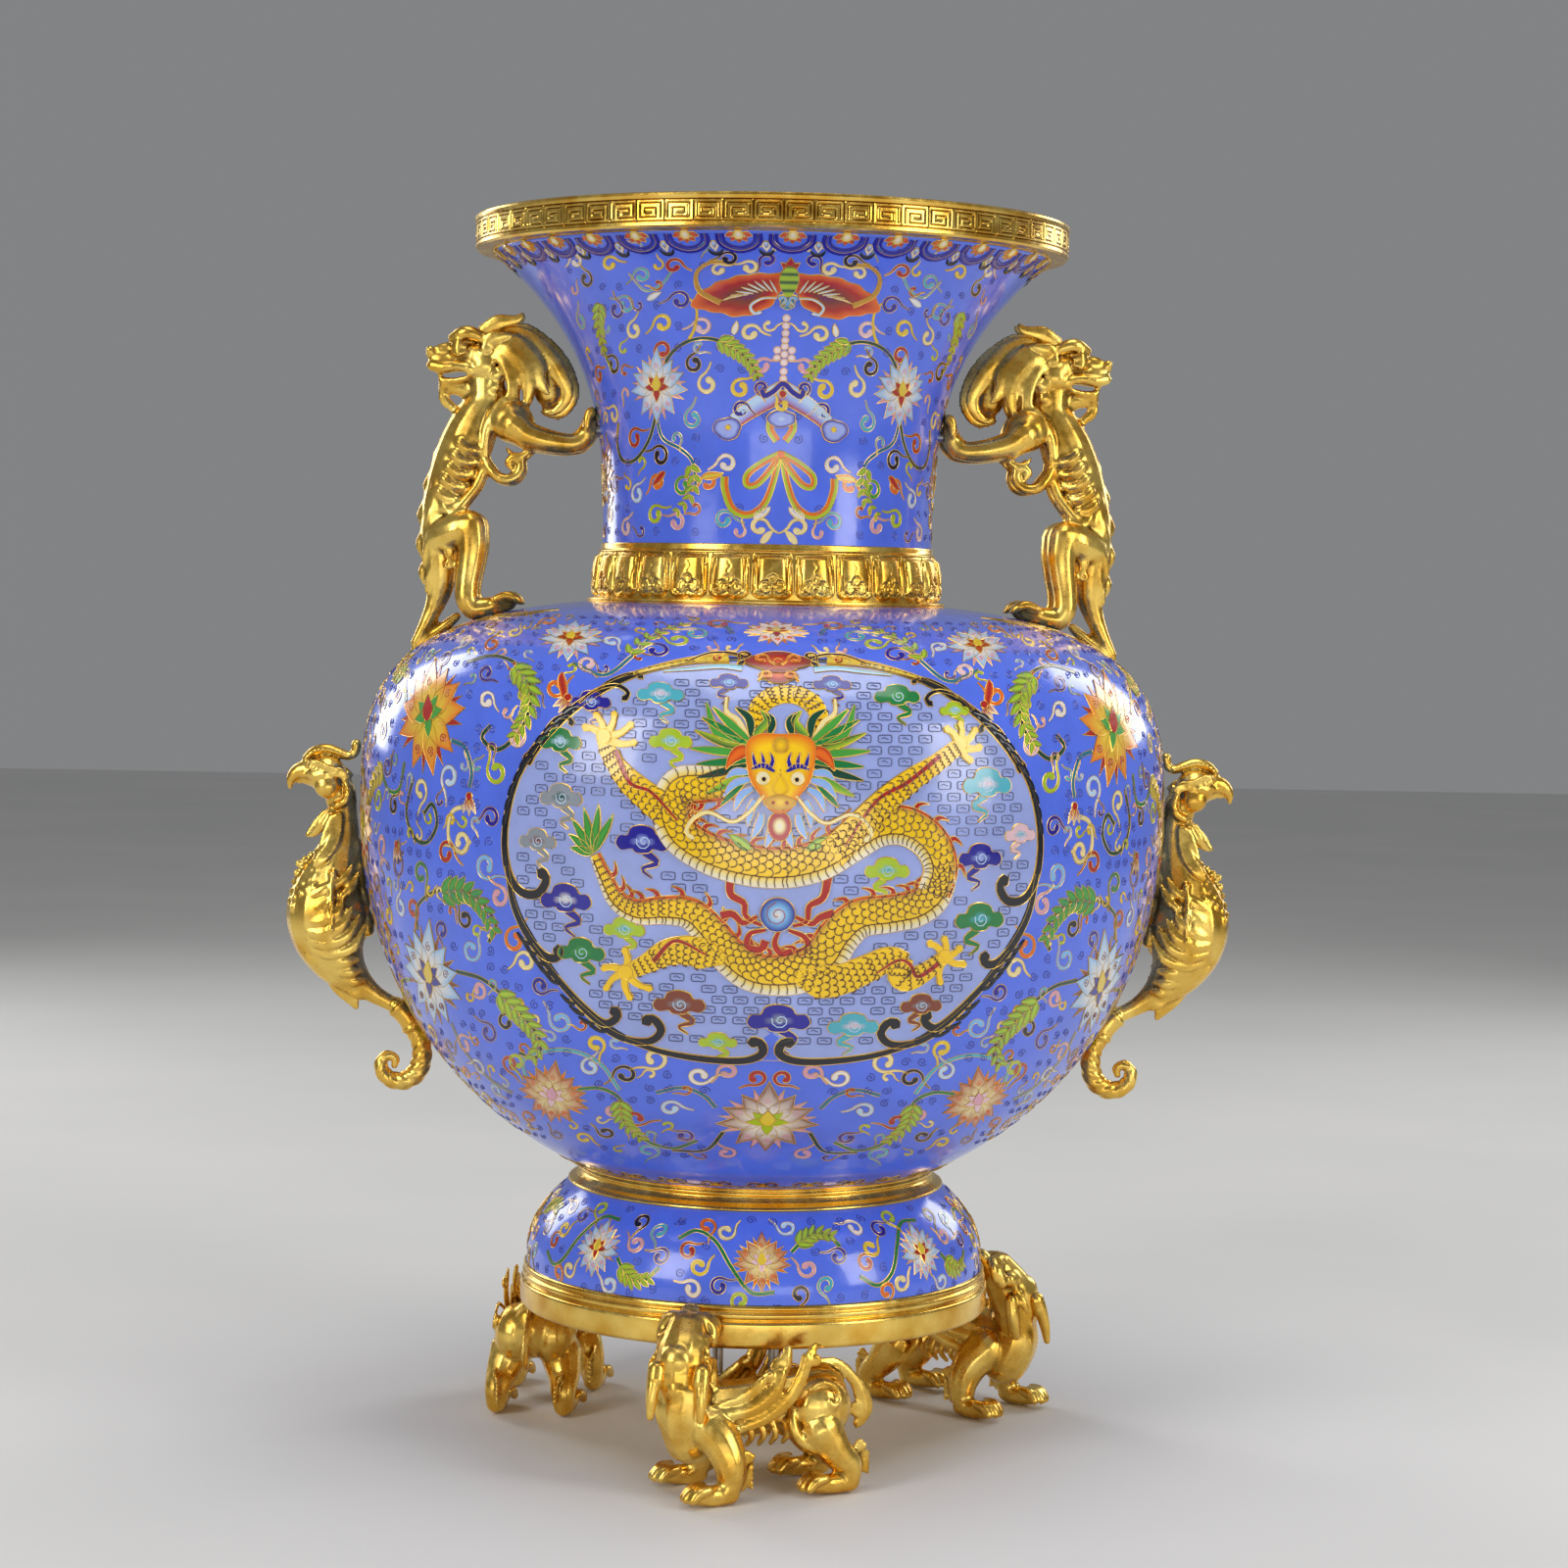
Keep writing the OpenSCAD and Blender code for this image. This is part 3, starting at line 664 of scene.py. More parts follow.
def strip(path, half, tints, layer=0, closed=False):
    """A strip of enamel with a wire on each side, half wide each way, carried along a flat path.

    tints holds the colours across the strip, from left to right, as (columns, 3) or one per point.
    """
    path = np.asarray(path, float)
    n = len(path)
    along = np.roll(path, -1, 0) - np.roll(path, 1, 0) if closed else np.gradient(path, axis=0)
    along /= np.maximum(np.linalg.norm(along, axis=1, keepdims=True), 1e-9)
    right = np.stack([along[:, 1], -along[:, 0]], 1)
    half = np.broadcast_to(half, n)[:, None]
    tints = np.asarray(tints, float)
    if tints.ndim == 2:
        tints = np.broadcast_to(tints, (n, *tints.shape))
    if tints.shape[1] % 2:
        middle = tints.shape[1] // 2
        tints = np.insert(tints, middle, tints[:, middle], axis=1)
    m = tints.shape[1]
    fill = np.maximum(half - WIRE, 0) * np.linspace(-1, 1, m)
    offset = np.hstack([-half - WIRE, -half, fill, half, half + WIRE])
    columns = m + 4
    level = np.array([0] * 2 + [FILL] * m + [0] * 2) + layer * 0.16
    level[[1, -2]] += CREST
    level[[0, -1]] = SUNK
    xy = path[:, None] + offset[..., None] * right[:, None]
    tint = np.concatenate([tints[:, :1], tints[:, :1], tints, tints[:, -1:], tints[:, -1:]], 1)
    faces = grid_faces(n, columns, closed, True)
    j = np.tile(np.arange(columns), len(faces) // columns)
    gold = (j < 2) | (j > columns - 4)
    slopes = np.zeros((columns, 4))
    slopes[0] = (-1, 0, 0, -1)
    slopes[1] = (0, 0.9, 0.9, 0)
    slopes[columns - 3] = (-0.9, 0, 0, -0.9)
    slopes[columns - 2] = (0, 1, 1, 0)
    lean = slopes[j]
    if not closed:
        k = np.arange(columns // 2)
        low = np.stack([k, columns - 1 - k, columns - 2 - k, k + 1], 1)[:-1]
        cap = np.vstack([low, (low + (n - 1) * columns)[:, ::-1]])
        faces, gold = np.vstack([faces, cap]), np.concatenate([gold, np.ones(len(cap), bool)])
        lean = np.vstack([lean, np.zeros((len(cap), 4))])
    return drawing(xy.reshape(-1, 2), np.tile(level, n), tint.reshape(-1, 3), np.repeat(right, columns, 0),
                   faces, gold, lean)


def plate(outline, tints, layer=0, centre=None):
    """A plate inside a closed anticlockwise outline, with a wire round it, coloured ring by ring.

    tints runs from the centre to the edge. The outline has to be seen whole from the centre.
    """
    outline = np.asarray(outline, float)
    centre = outline.mean(0) if centre is None else np.asarray(centre, float)
    n, m = len(outline), len(tints)
    ray = outline - centre
    reach = np.maximum(np.linalg.norm(ray, axis=1, keepdims=True), 1e-6)
    unit = ray / reach
    inner = np.maximum(reach - WIRE, 0)
    rings = [centre + unit * (reach + WIRE), outline]
    rings += [centre + unit * inner * share for share in np.linspace(1, 0.02, m)]
    level = np.array([SUNK, CREST + layer * 0.16] + [FILL + layer * 0.16] * m)
    colours = np.array([tints[-1], tints[-1], *list(tints)[::-1]])
    xy = np.stack(rings, 1).reshape(-1, 2)
    columns = m + 2
    faces = grid_faces(n, columns, True, True)[:, ::-1]
    j = np.tile(np.arange(columns), n)
    gold = j < 2
    slopes = np.zeros((columns, 4))
    slopes[0] = (1, 0, 0, 1)
    slopes[1] = (0, -0.9, -0.9, 0)
    lean = slopes[j][:, ::-1]
    gold[j == columns - 1] = False
    return drawing(xy, np.tile(level, n), np.tile(colours, (n, 1)), np.repeat(unit, columns, 0),
                   faces, gold, lean)


def wire(path, layer=0, thick=WIRE, closed=False, ink=None):
    """A bare wire along a flat path: a low bar with a flat crest. With an ink it is a plain stroke.

    thick is half the width, one number or one per point.
    """
    path = np.asarray(path, float)
    n = len(path)
    along = np.roll(path, -1, 0) - np.roll(path, 1, 0) if closed else np.gradient(path, axis=0)
    along /= np.maximum(np.linalg.norm(along, axis=1, keepdims=True), 1e-9)
    right = np.stack([along[:, 1], -along[:, 0]], 1)
    bar = np.array([-1.1, -0.2, 0.2, 1.1] if ink is None else [-1.1, -0.8, 0.8, 1.1])[:, None]
    xy = path[:, None] + bar * np.broadcast_to(thick, n)[:, None, None] * right[:, None]
    level = np.array([SUNK, CREST + layer * 0.16, CREST + layer * 0.16, SUNK])
    faces = grid_faces(n, 4, closed, True)
    slopes = np.array([(-1, -0.3, -0.3, -1), (-0.3, 0.3, 0.3, -0.3), (0.3, 1, 1, 0.3), (0, 0, 0, 0)])
    lean = slopes[np.tile(np.arange(4), len(faces) // 4)]
    if not closed:
        cap = np.array([(0, 3, 2, 1), (4 * n - 4, 4 * n - 3, 4 * n - 2, 4 * n - 1)])
        faces, lean = np.vstack([faces, cap]), np.vstack([lean, np.zeros((2, 4))])
    tint = np.ones((4 * n, 3)) * (1 if ink is None else inks(ink))
    return drawing(xy.reshape(-1, 2), np.tile(level, n), tint, np.repeat(right, 4, 0),
                   faces, np.full(len(faces), ink is None), lean)


# %% [markdown]
# Drawings are joined, turned and mirrored as arrays, and laid on a skin as many times as needed.
# `Cells` gathers what belongs to one mesh.

# %% Joining and laying
def join(*shapes):
    """Several drawings as one."""
    shapes = [s for group in shapes for s in (group if isinstance(group, list) else [group])]
    start = np.cumsum([0] + [len(s["xy"]) for s in shapes[:-1]])
    whole = {key: np.concatenate([s[key] for s in shapes]) for key in shapes[0] if key != "faces"}
    whole["faces"] = np.concatenate([s["faces"] + k for s, k in zip(shapes, start)])
    return whole


def moved(shape, x=0.0, y=0.0, turn=0.0, flip=False, grow=1.0):
    """The drawing grown, mirrored left to right, turned by degrees and then shifted."""
    a = math.radians(turn)
    spin_by = np.array([[math.cos(a), math.sin(a)], [-math.sin(a), math.cos(a)]])
    mirror = np.array([-1 if flip else 1, 1])
    new = dict(shape)
    new["xy"] = (shape["xy"] * mirror * grow) @ spin_by + (x, y)
    new["side"] = (shape["side"] * mirror) @ spin_by
    if flip:
        new["faces"], new["lean"] = shape["faces"][:, ::-1], shape["lean"][:, ::-1]
    return new


def both(shape):
    """The drawing and its mirror image."""
    return join(shape, moved(shape, flip=True))


class Cells:
    """Drawings laid on one skin, gathered until they become one mesh."""

    def __init__(self, skin):
        self.skin, self.laid, self.count = skin, [], 0

    def lay(self, shape, azimuth, height):
        """Wraps a drawing on the skin, with its origin at an azimuth in degrees and a height."""
        points, right, up, out = self.skin.wrap(*shape["xy"].T, shape["lift"], azimuth, height)
        side = shape["side"][:, :1] * right + shape["side"][:, 1:] * up
        faces = shape["faces"]
        normals = out[faces] + shape["lean"][..., None] * side[faces]
        normals /= np.linalg.norm(normals, axis=2, keepdims=True)
        self.laid.append((points, faces + self.count, shape["tint"], shape["gold"], normals))
        self.count += len(points)

    def finish(self, name):
        """Writes everything laid so far as one mesh."""
        points, faces, tint, gold, normals = (np.concatenate(part) for part in zip(*self.laid))
        return write_mesh(name, points, [faces], [enamelled, gilt_wire],
                          slots=gold.astype(np.int32),
                          tint=tint, normals=normals.reshape(-1, 3))


# %% [markdown]
# ### The pattern book
# Scrollwork repeats a few strokes: a hooked comma with a round head, a loose spiral, a vine, a leaf, a
# petal and a lotus. Each stroke is a function of its size and colour, and a page of ornament lists them.

# %% Enamel colours
COLOURS = {
    "white": (0.93, 0.90, 0.86), "cream": (0.93, 0.87, 0.62), "yellow": (0.90, 0.78, 0.22),
    "gold": (0.98, 0.80, 0.08), "ochre": (0.76, 0.55, 0.16),
    "orange": (0.90, 0.42, 0.10), "red": (0.68, 0.13, 0.10), "brown": (0.50, 0.24, 0.16),
    "rose": (0.86, 0.62, 0.70),
    "pink": (0.90, 0.76, 0.80), "plum": (0.42, 0.20, 0.38), "black": (0.05, 0.05, 0.10),
    "cobalt": (0.12, 0.10, 0.58),
    "sky": (0.48, 0.72, 0.93), "pale": (0.74, 0.85, 0.96), "lavender": (0.62, 0.68, 0.93),
    "teal": (0.12, 0.45, 0.55),
    "turquoise": (0.30, 0.68, 0.76), "green": (0.10, 0.48, 0.24), "leaf": (0.28, 0.62, 0.24),
    "lime": (0.66, 0.77, 0.16),
    "forest": (0.06, 0.27, 0.20), "grey": (0.55, 0.58, 0.62), "ground": (0.33, 0.45, 0.93),
    "haze": (0.60, 0.66, 0.90),
    "umber": (0.34, 0.18, 0.04), "slate": (0.30, 0.32, 0.48), "dusk": (0.22, 0.24, 0.60),
}


def inks(*names):
    """Linear colours for a row of colour names."""
    return np.array([linear(COLOURS[name]) for name in names])


# %% Strokes
def pen(path, tail, body, head=0.0):
    """Half width along a path: from tail to body, then a round head of the given radius at the end."""
    s = path_length(path)
    half = tail + (body - tail) * np.clip(s / s[-1], 0, 1) ** 0.8
    if head:
        from_end = s[-1] - s
        ball = np.sqrt(np.clip(head ** 2 - (from_end - head) ** 2, 0.01, None))
        half = np.where(from_end < 2 * head, np.maximum(ball, np.where(from_end > head, half, 0)), half)
    return half


def hook(x, y, r, start, sweep, ink, thick=1.0, layer=0):
    """A comma: an arc about (x, y) whose radius shrinks as it sweeps, ending in a round head.

    The angle starts at start degrees and turns by sweep, anticlockwise if positive.
    """
    t = np.linspace(0, 1, int(9 + r * abs(sweep) / 110))
    angle = np.radians(start + 1.4 * sweep * t)
    radius = r * (1 - 0.68 * t ** 0.85)
    curl = np.stack([x + radius * np.cos(angle), y + radius * np.sin(angle)], 1)
    out = np.array([math.cos(angle[0]), math.sin(angle[0])])
    along = np.array([-out[1], out[0]]) * np.sign(sweep)
    back = r * np.array([1.3, 0.85, 0.4])[:, None]
    path = np.vstack([curl[0] - along * back + out * 0.42 * back ** 2 / r, curl])
    return strip(path, pen(path, 0.3 * thick, 1.15 * thick, 1.6 * thick), inks(ink, ink), layer)


def whorl(x, y, r=2.6, start=0, hand=1, ink="dusk"):
    """A loose spiral, one plain dark stroke, that fills an empty stretch of ground."""
    t = np.linspace(0, 1, 14)
    angle = np.radians(start) + hand * t * 3.0 * np.pi
    radius = r * (1 - 0.85 * t)
    return wire(np.stack([x + radius * np.cos(angle), y + radius * np.sin(angle)], 1), thick=0.2, ink=ink)


def comma(x, y, k):
    """The k-th of the small loose commas that fill the ground, each with its own colour and turn."""
    ink = ("cream", "red", "sky", "cobalt", "yellow", "turquoise", "rose", "lime")[k % 8]
    return hook(x, y, 3.3, 67 * k, 200 if k % 2 else -200, ink, 0.7)


def vine(points, ink, thick=0.8, tail=None, layer=0, head=0.0):
    """A stem through the given points, with an even width, or one that grows from tail."""
    count = int(6 + np.linalg.norm(np.diff(np.asarray(points, float), axis=0), axis=1).sum() / 2.2)
    path = smooth_path(points, count)
    return strip(path, pen(path, thick if tail is None else tail, thick, head), inks(ink, ink), layer)


def leaf(x, y, length, wide, turn, edge, middle, bend=0.15, layer=0):
    """A pointed leaf from its root at (x, y), wide at a third of its length, curving as it goes."""
    t = np.linspace(0, 1, 8)
    angle = math.radians(turn)
    along = np.stack([t * length, bend * length * np.sin(t * np.pi / 2) ** 2], 1)
    path = along @ np.array([[math.cos(angle), math.sin(angle)], [-math.sin(angle), math.cos(angle)]]) + (x,
            y)
    half = wide * np.sin(np.pi * t ** 0.75) ** 0.8
    return strip(path, half, inks(edge, middle, edge), layer)


def petal(length, wide, turn, tip, root, layer=0, start=0.0):
    """A petal pointing away from the origin: full shoulder near its root, then a drawn-out tip."""
    t = np.linspace(0, 1, 10)
    path = np.stack([np.zeros(10), start + (length - start) * t], 1)
    half = wide * np.sin(np.pi * np.clip(t * 0.93 + 0.07, 0, 1) ** 0.78) ** 1.2
    shade = inks(root, tip)
    mix = t[:, None, None] ** 1.2
    edge = shade[0] + (shade[1] - shade[0]) * np.clip(mix * 1.6, 0, 1)
    core = shade[0] + (shade[1] - shade[0]) * np.clip(mix * 1.1 - 0.15, 0, 1)
    tints = np.concatenate([edge, core, edge], 1)
    return moved(strip(path, half, tints, layer), turn=turn - 90)


def bead(x, y, r, *names, layer=0):
    """A round plate, coloured from its middle outwards."""
    angle = np.linspace(0, 2 * np.pi, max(10, int(r * 7)), endpoint=False)
    outline = np.stack([x + r * np.cos(angle), y + r * np.sin(angle)], 1)
    return plate(outline, inks(*names), layer, (x, y))


def lotus(size, tip, root, accent, crown, heart):
    """A lotus seen from the side: pointed petals, thin ones between them, crown, and a bright heart."""
    parts = [petal(size * 0.95, size * 0.07, turn, accent, accent, 0, size * 0.3)
             for turn in (-72, -108, -22, 202, 8, 172, 38, 142, 72, 108)]
    parts += [petal(size * reach, size * 0.21, turn, tip, root, 1, size * 0.1)
              for turn, reach in ((-90, 1.0), (-52, 0.95), (-128, 0.95), (-6, 1.0), (186, 1.0))]
    parts += [petal(size * reach, size * 0.22, turn, tip, root, 2, size * 0.08)
              for turn, reach in ((24, 0.95), (156, 0.95), (56, 0.92), (124, 0.92), (90, 1.12))]
    parts += [petal(size * 0.42, size * 0.11, turn, crown, crown, 3) for turn in (0, 180, 45, 135, -90)]
    parts.append(moved(petal(size * 0.46, size * 0.15, 90, heart, heart, 4), y=-size * 0.1))
    for turn in (-90, -52, -128, 24, 156, 90):
        spiral = whorl(0, 0, size * 0.09, turn, 1 if turn < 91 else -1, accent)
        spiral["lift"] = spiral["lift"] + 0.34
        parts.append(moved(spiral,
                           *(size * 0.6
                             * np.array([math.cos(math.radians(turn)), math.sin(math.radians(turn))]))))
    return join(parts)


print("pattern book:", len(COLOURS), "enamels")

# %% [markdown]
# ### The neck
# The neck's two faces carry a bat, a string of beads and a hanging stone chime tied with ribbons.
# Two lotuses stand beside them on green vines. Everything is the same on the left and the right, so
# only one half is drawn.

# %% Neck ornament
def ribboned_chime():
    """The chime: a bent bar with cloud ends, a cloud boss, and a ribbon tied in a bow below it."""
    bar = smooth_path([(0, 0.5), (-8, -4), (-17, -10), (-22, -14)], 16)
    parts = [strip(bar, np.linspace(5.2, 3.6, 16), inks("red", "lavender", "pale", "pale"), 2)]
    angle = np.linspace(0, 2 * np.pi, 60, endpoint=False)
    lobes = 5.6 + 1.1 * np.abs(np.sin(1.5 * angle + 0.4))
    outline = np.stack([-25.6 + lobes * 1.08 * np.cos(angle), -17.4 + lobes * 0.85 * np.sin(angle)], 1)
    parts.append(plate(outline, inks("lavender", "lavender", "lavender", "cobalt"), 3, (-25.6, -17.4)))
    parts.append(bead(-25.2, -16.8, 1.3, "yellow", "yellow", layer=5))
    parts += [hook(-19.5, -8.5, 4.2, 20, 250, "cobalt", 1.0, 2),
              hook(-10.0, 2.2, 3.4, 250, -250, "cobalt", 0.9, 2)]
    ribbon = [(-2, -23), (-5.5, -17), (-4.0, -10)]
    parts.append(strip(smooth_path(ribbon, 10), 1.7, inks("lime", "lime", "orange", "orange"), 1))
    loop = [(-0.5, -29), (-8, -33), (-15.5, -39), (-15.6, -44), (-11, -43.5), (-5, -37), (-0.5, -30)]
    parts.append(strip(smooth_path(loop, 34), 1.5, inks("orange", "orange", "lime", "lime"), 1))
    tail = [(-0.6, -30), (-3.2, -42), (-7.5, -53), (-15, -58), (-22.5, -55), (-26.2, -46), (-26.5, -40)]
    parts.append(strip(smooth_path(tail, 40), np.linspace(1.3, 1.9, 40),
                       inks("lime", "lime", "orange", "orange"), 1))
    half = join(parts)
    boss = np.stack([(6.3 + 0.9 * np.abs(np.sin(1.5 * angle))) * np.cos(angle),
                     -12.4 + (3.6 + 0.9 * np.abs(np.cos(1.5 * angle))) * np.sin(angle)], 1)
    middle = [plate(boss, inks("pale", "lavender", "lavender", "cobalt"), 5, (0, -12.4)),
              bead(0, -0.6, 1.8, "red", "red", layer=5),
              hook(0, -6.0, 2.9, 160, 220, "yellow", 0.9, 6),
              bead(0, -29.4, 1.9, "orange", "orange", layer=3)]
    roof = [(-9.8, 1.4), (-8.6, -1.6), (-4.5, 0.4), (0, 4.4), (4.5, 0.4), (8.6, -1.6), (9.8, 1.4)]
    middle.append(strip(smooth_path(roof, 26), 1.35, inks("cobalt", "cobalt"), 4))
    return join(both(half), middle)


def bat():
    """The bat, head down: scalloped red wings with pale ribs, a striped body and a red tail."""
    wing_edge = [(-2, 60), (-14, 61), (-24, 59.5), (-35, 55), (-45, 47), (-43, 42), (-34, 40), (-22, 37.5),
                 (-12, 40.5), (-6, 46)]
    outline = smooth_path(wing_edge, 60, closed=True)
    ripple = 1 + 0.035 * np.sin(np.arange(60) * 1.15)
    centre = np.array([-18.0, 49.5])
    parts = [plate(centre + (outline - centre) * ripple[:, None], inks("plum", "brown", "red", "orange"), 2,
                   centre)]
    for k, turn in enumerate(np.linspace(118, 205, 9)):
        root = np.array([-5.0 - 2.2 * k, 50.5 + 1.1 * math.sin(k * 0.7)])
        tip = root + 8.5 * np.array([math.cos(math.radians(turn)), math.sin(math.radians(turn))])
        parts.append(strip(smooth_path([root, (root + tip) / 2, tip], 5), [0.2, 0.5, 0.5, 0.4, 0.1],
                           inks("pale", "pale"), 3))
    parts.append(vine([(-5, 48), (-12, 47.5), (-17, 43.5), (-15, 39.5), (-12, 40.5)], "pale", 0.8, 0.4, 4))
    parts.append(vine([(-31, 68), (-38, 67), (-43.5, 61), (-42, 52), (-35, 47), (-31, 45)], "ochre", 1.3,
                      0.6, 3))
    parts.append(hook(-33.0, 63.0, 3.6, 60, 250, "cream", 1.0))
    half = both(join(parts))
    body = smooth_path([(0, 66), (0, 62), (0, 55), (0, 49)], 12)
    stripes = np.where((np.arange(12) % 3 == 0)[:, None, None], inks("forest"), inks("lime"))
    stripes = np.repeat(stripes, 3, 1)
    middle = [strip(body, [1.2, 2.6, 3.6, 4.2, 4.5, 4.6, 4.5, 4.2, 3.8, 3.2, 2.4, 1.0], stripes, 4),
              petal(9, 2.6, 90, "red", "red", 3), bead(0, 45.4, 3.5, "sky", "teal", layer=5)]
    middle[1] = moved(middle[1], y=62)
    middle += both_list([petal(6, 1.6, 140, "red", "red", 3)], 0, 64)
    middle += both_list([bead(-1.4, 44.2, 0.7, "black", layer=7),
                         hook(-2.6, 47.6, 2.0, 300, 200, "sky", 0.7, 6)], 0, 0)
    return join(half, middle)


def both_list(shapes, x, y):
    """Each shape moved by x, y, with its mirror image across the middle line."""
    return [both(moved(shape, x, y)) for shape in shapes]


def bead_string():
    """Pearls on a cord: a single row with a ring of six in the middle."""
    places = [(0, 37), (0, 33), (0, 29.2), (0, 25.6), (-3.4, 20.6), (-3.4, 16.6), (3.4, 20.6), (3.4, 16.6),
              (0, 22.6), (0, 18.6), (0, 14.6), (0, 10.2), (0, 6.6)]
    return join([bead(x, y, 1.85, "white", "pink") for x, y in places])


NECK_HALF = [
    # x, y, radius, start, sweep, enamel: the left half's hooks
    (-55.0, 65.5, 4.6, 20, 260, "red"), (-28.5, 69.5, 4.4, 150, -270, "black"),
    (-10.5, 69.0, 4.0, 200, -250, "cobalt"),
    (-18.5, 64.5, 4.0, 130, -260, "cream"), (-51.0, 46.0, 5.4, 150, -260, "cobalt"),
    (-60.0, 34.0, 5.2, 170, -260, "yellow"),
    (-39.5, 32.0, 4.8, 150, -260, "pink"), (-60.0, 20.5, 5.0, 200, -250, "red"),
    (-43.0, 13.5, 4.6, 110, 270, "black"),
    (-36.0, 3.5, 5.2, 120, 260, "cream"), (-20.0, 1.5, 4.8, 80, 280, "yellow"),
    (-43.0, -13.0, 5.0, 120, 260, "turquoise"),
    (-61.5, -30.5, 5.4, 130, -280, "black"), (-79.0, -22.0, 5.4, 60, 270, "red"),
    (-25.5, -34.0, 4.6, 160, -260, "white"),
    (-63.0, -43.0, 4.4, 180, -250, "orange"), (-48.0, -45.0, 5.0, 60, 280, "leaf"),
    (-34.5, -43.0, 4.4, 170, -250, "orange"),
    (-77.0, -48.5, 4.8, 90, 270, "pale"), (-64.0, -58.5, 5.0, 60, 270, "lime"),
    (-51.0, -62.0, 4.4, 120, -250, "rose"),
    (-26.5, -60.5, 4.8, 30, 270, "turquoise"), (-86.0, -64.5, 4.4, 90, 260, "pink"),
    (-9.5, -63.5, 4.6, 20, 240, "cream"),
    (-71.5, 60.5, 4.8, 170, -260, "turquoise"), (-81.5, 44.5, 5.2, 120, -260, "turquoise"),
    (-71.0, 4.5, 4.4, 90, 250, "white"),
    (-77.0, 31.0, 4.8, 110, 260, "cream"), (-88.0, 42.0, 5.0, 60, -250, "cobalt"),
    (-90.0, 68.0, 4.8, 40, 250, "yellow"),
    (-94.0, 14.0, 5.2, 110, -260, "black"), (-107.0, 60.0, 5.0, 70, -260, "black"),
    (-112.0, 71.0, 4.6, 160, -260, "white"),
    (-118.0, 38.0, 5.0, 120, 260, "turquoise"), (-16.5, 29.0, 4.6, 30, 260, "cream"),
    (-10.0, 12.5, 4.0, 60, 260, "rose"),
    (-98.0, -44.0, 4.6, 60, 270, "cobalt"), (-97.0, -10.0, 4.8, 120, -250, "cream"),
    (-105.0, -58.0, 4.6, 100, 260, "yellow"),
    (-108.0, -28.0, 4.6, 60, -260, "rose"), (-110.0, 10.0, 4.6, 60, 260, "red"),
    (-120.0, -8.0, 4.8, 130, -260, "turquoise"),
    (-121.0, -50.0, 4.6, 40, 260, "black"),
]


def leaf_spray(points, count, size, edge="green", middle="lime"):
    """Short leaves in pairs along a curving stem, shrinking towards its end."""
    path = smooth_path(points, count)
    along = np.gradient(path, axis=0)
    parts = []
    for k, (place, way) in enumerate(zip(path, along)):
        turn = math.degrees(math.atan2(way[1], way[0]))
        scale = size * (1 - 0.5 * k / count)
        parts.append(leaf(*place, scale, scale * 0.24, turn + 48, edge, middle, -0.1, 1))
        parts.append(leaf(*place, scale, scale * 0.24, turn - 48, edge, middle, 0.1, 1))
    return join(parts)


def neck_half():
    """The left half of one face of the neck."""
    parts = [hook(x, y, r, a, s, ink, 1.05) for x, y, r, a, s, ink in NECK_HALF]
    parts += [
        vine([(-59, 14), (-53, 21), (-44, 25.5), (-33, 25.5), (-22, 20), (-14, 12), (-12, 6)], "forest", 0.9),
        leaf_spray([(-31, 25.5), (-24, 21), (-17, 15.5), (-13, 9)], 8, 7.5),
        vine([(-46, 47), (-42.5, 40), (-43.5, 31), (-46, 26)], "yellow", 0.8, 0.4),
        vine([(-63.5, -9), (-69, -23), (-79, -32), (-90, -32), (-95, -24), (-93, -14)], "forest", 0.9),
        vine([(-64, -12), (-60, -22), (-50, -27), (-43, -33), (-41, -44)], "teal", 0.85),
        leaf_spray([(-44, -35), (-42, -42), (-44, -50), (-50, -56)], 6, 6.5),
        leaf(-38, -41, 11, 1.9, 30, "orange", "yellow", -0.3, 1),
        leaf(-58, -38, 10, 1.9, 200, "orange", "red", 0.3, 1),
        vine([(-100, 45), (-103, 32), (-100, 20), (-96, 12)], "green", 0.9),
        leaf_spray([(-99, 46), (-102, 36), (-101, 24)], 6, 8),
        vine([(-79, 62), (-70, 52), (-61, 55), (-56, 62)], "turquoise", 0.8, 0.4),
        leaf(-69, 47, 9, 1.8, 20, "pale", "white", 0.1, 1),
        leaf(-12, -60, 9, 2.2, 60, "cream", "white", -0.4, 1),
        leaf(-24, 28, 7, 1.6, 100, "cream", "white", -0.3, 1),
        leaf(-9, -71, 8, 1.6, 20, "cream", "cream", 0.4),
        moved(lotus(17.5, "sky", "white", "rose", "red", "yellow"), -63.5, 2.6),
        moved(lotus(13.5, "red", "pink", "pale", "cobalt", "yellow"), -113, -40, 20),
    ]
    rows = np.array([(x, y) for y in np.arange(-66, 80, 11.0) for x in np.arange(-118, -3, 11.0)])
    taken = np.array([(p[0], p[1]) for p in NECK_HALF] + [(-63.5, 2.6), (-113, -40), (-22, -14), (-12, -40),
            (-20, 52), (0, 20)])
    room = np.array([7.5] * len(NECK_HALF) + [19, 15, 14, 15, 22, 9])
    free = np.all(np.linalg.norm(rows[:, None] - taken, axis=2) > room, axis=1)
    parts += [whorl(x, y, 2.4, 30 * x, 1 if k % 2 else -1) if k % 3 else comma(x, y, k)
              for k, (x, y) in enumerate(rows[free])]
    return join(parts)


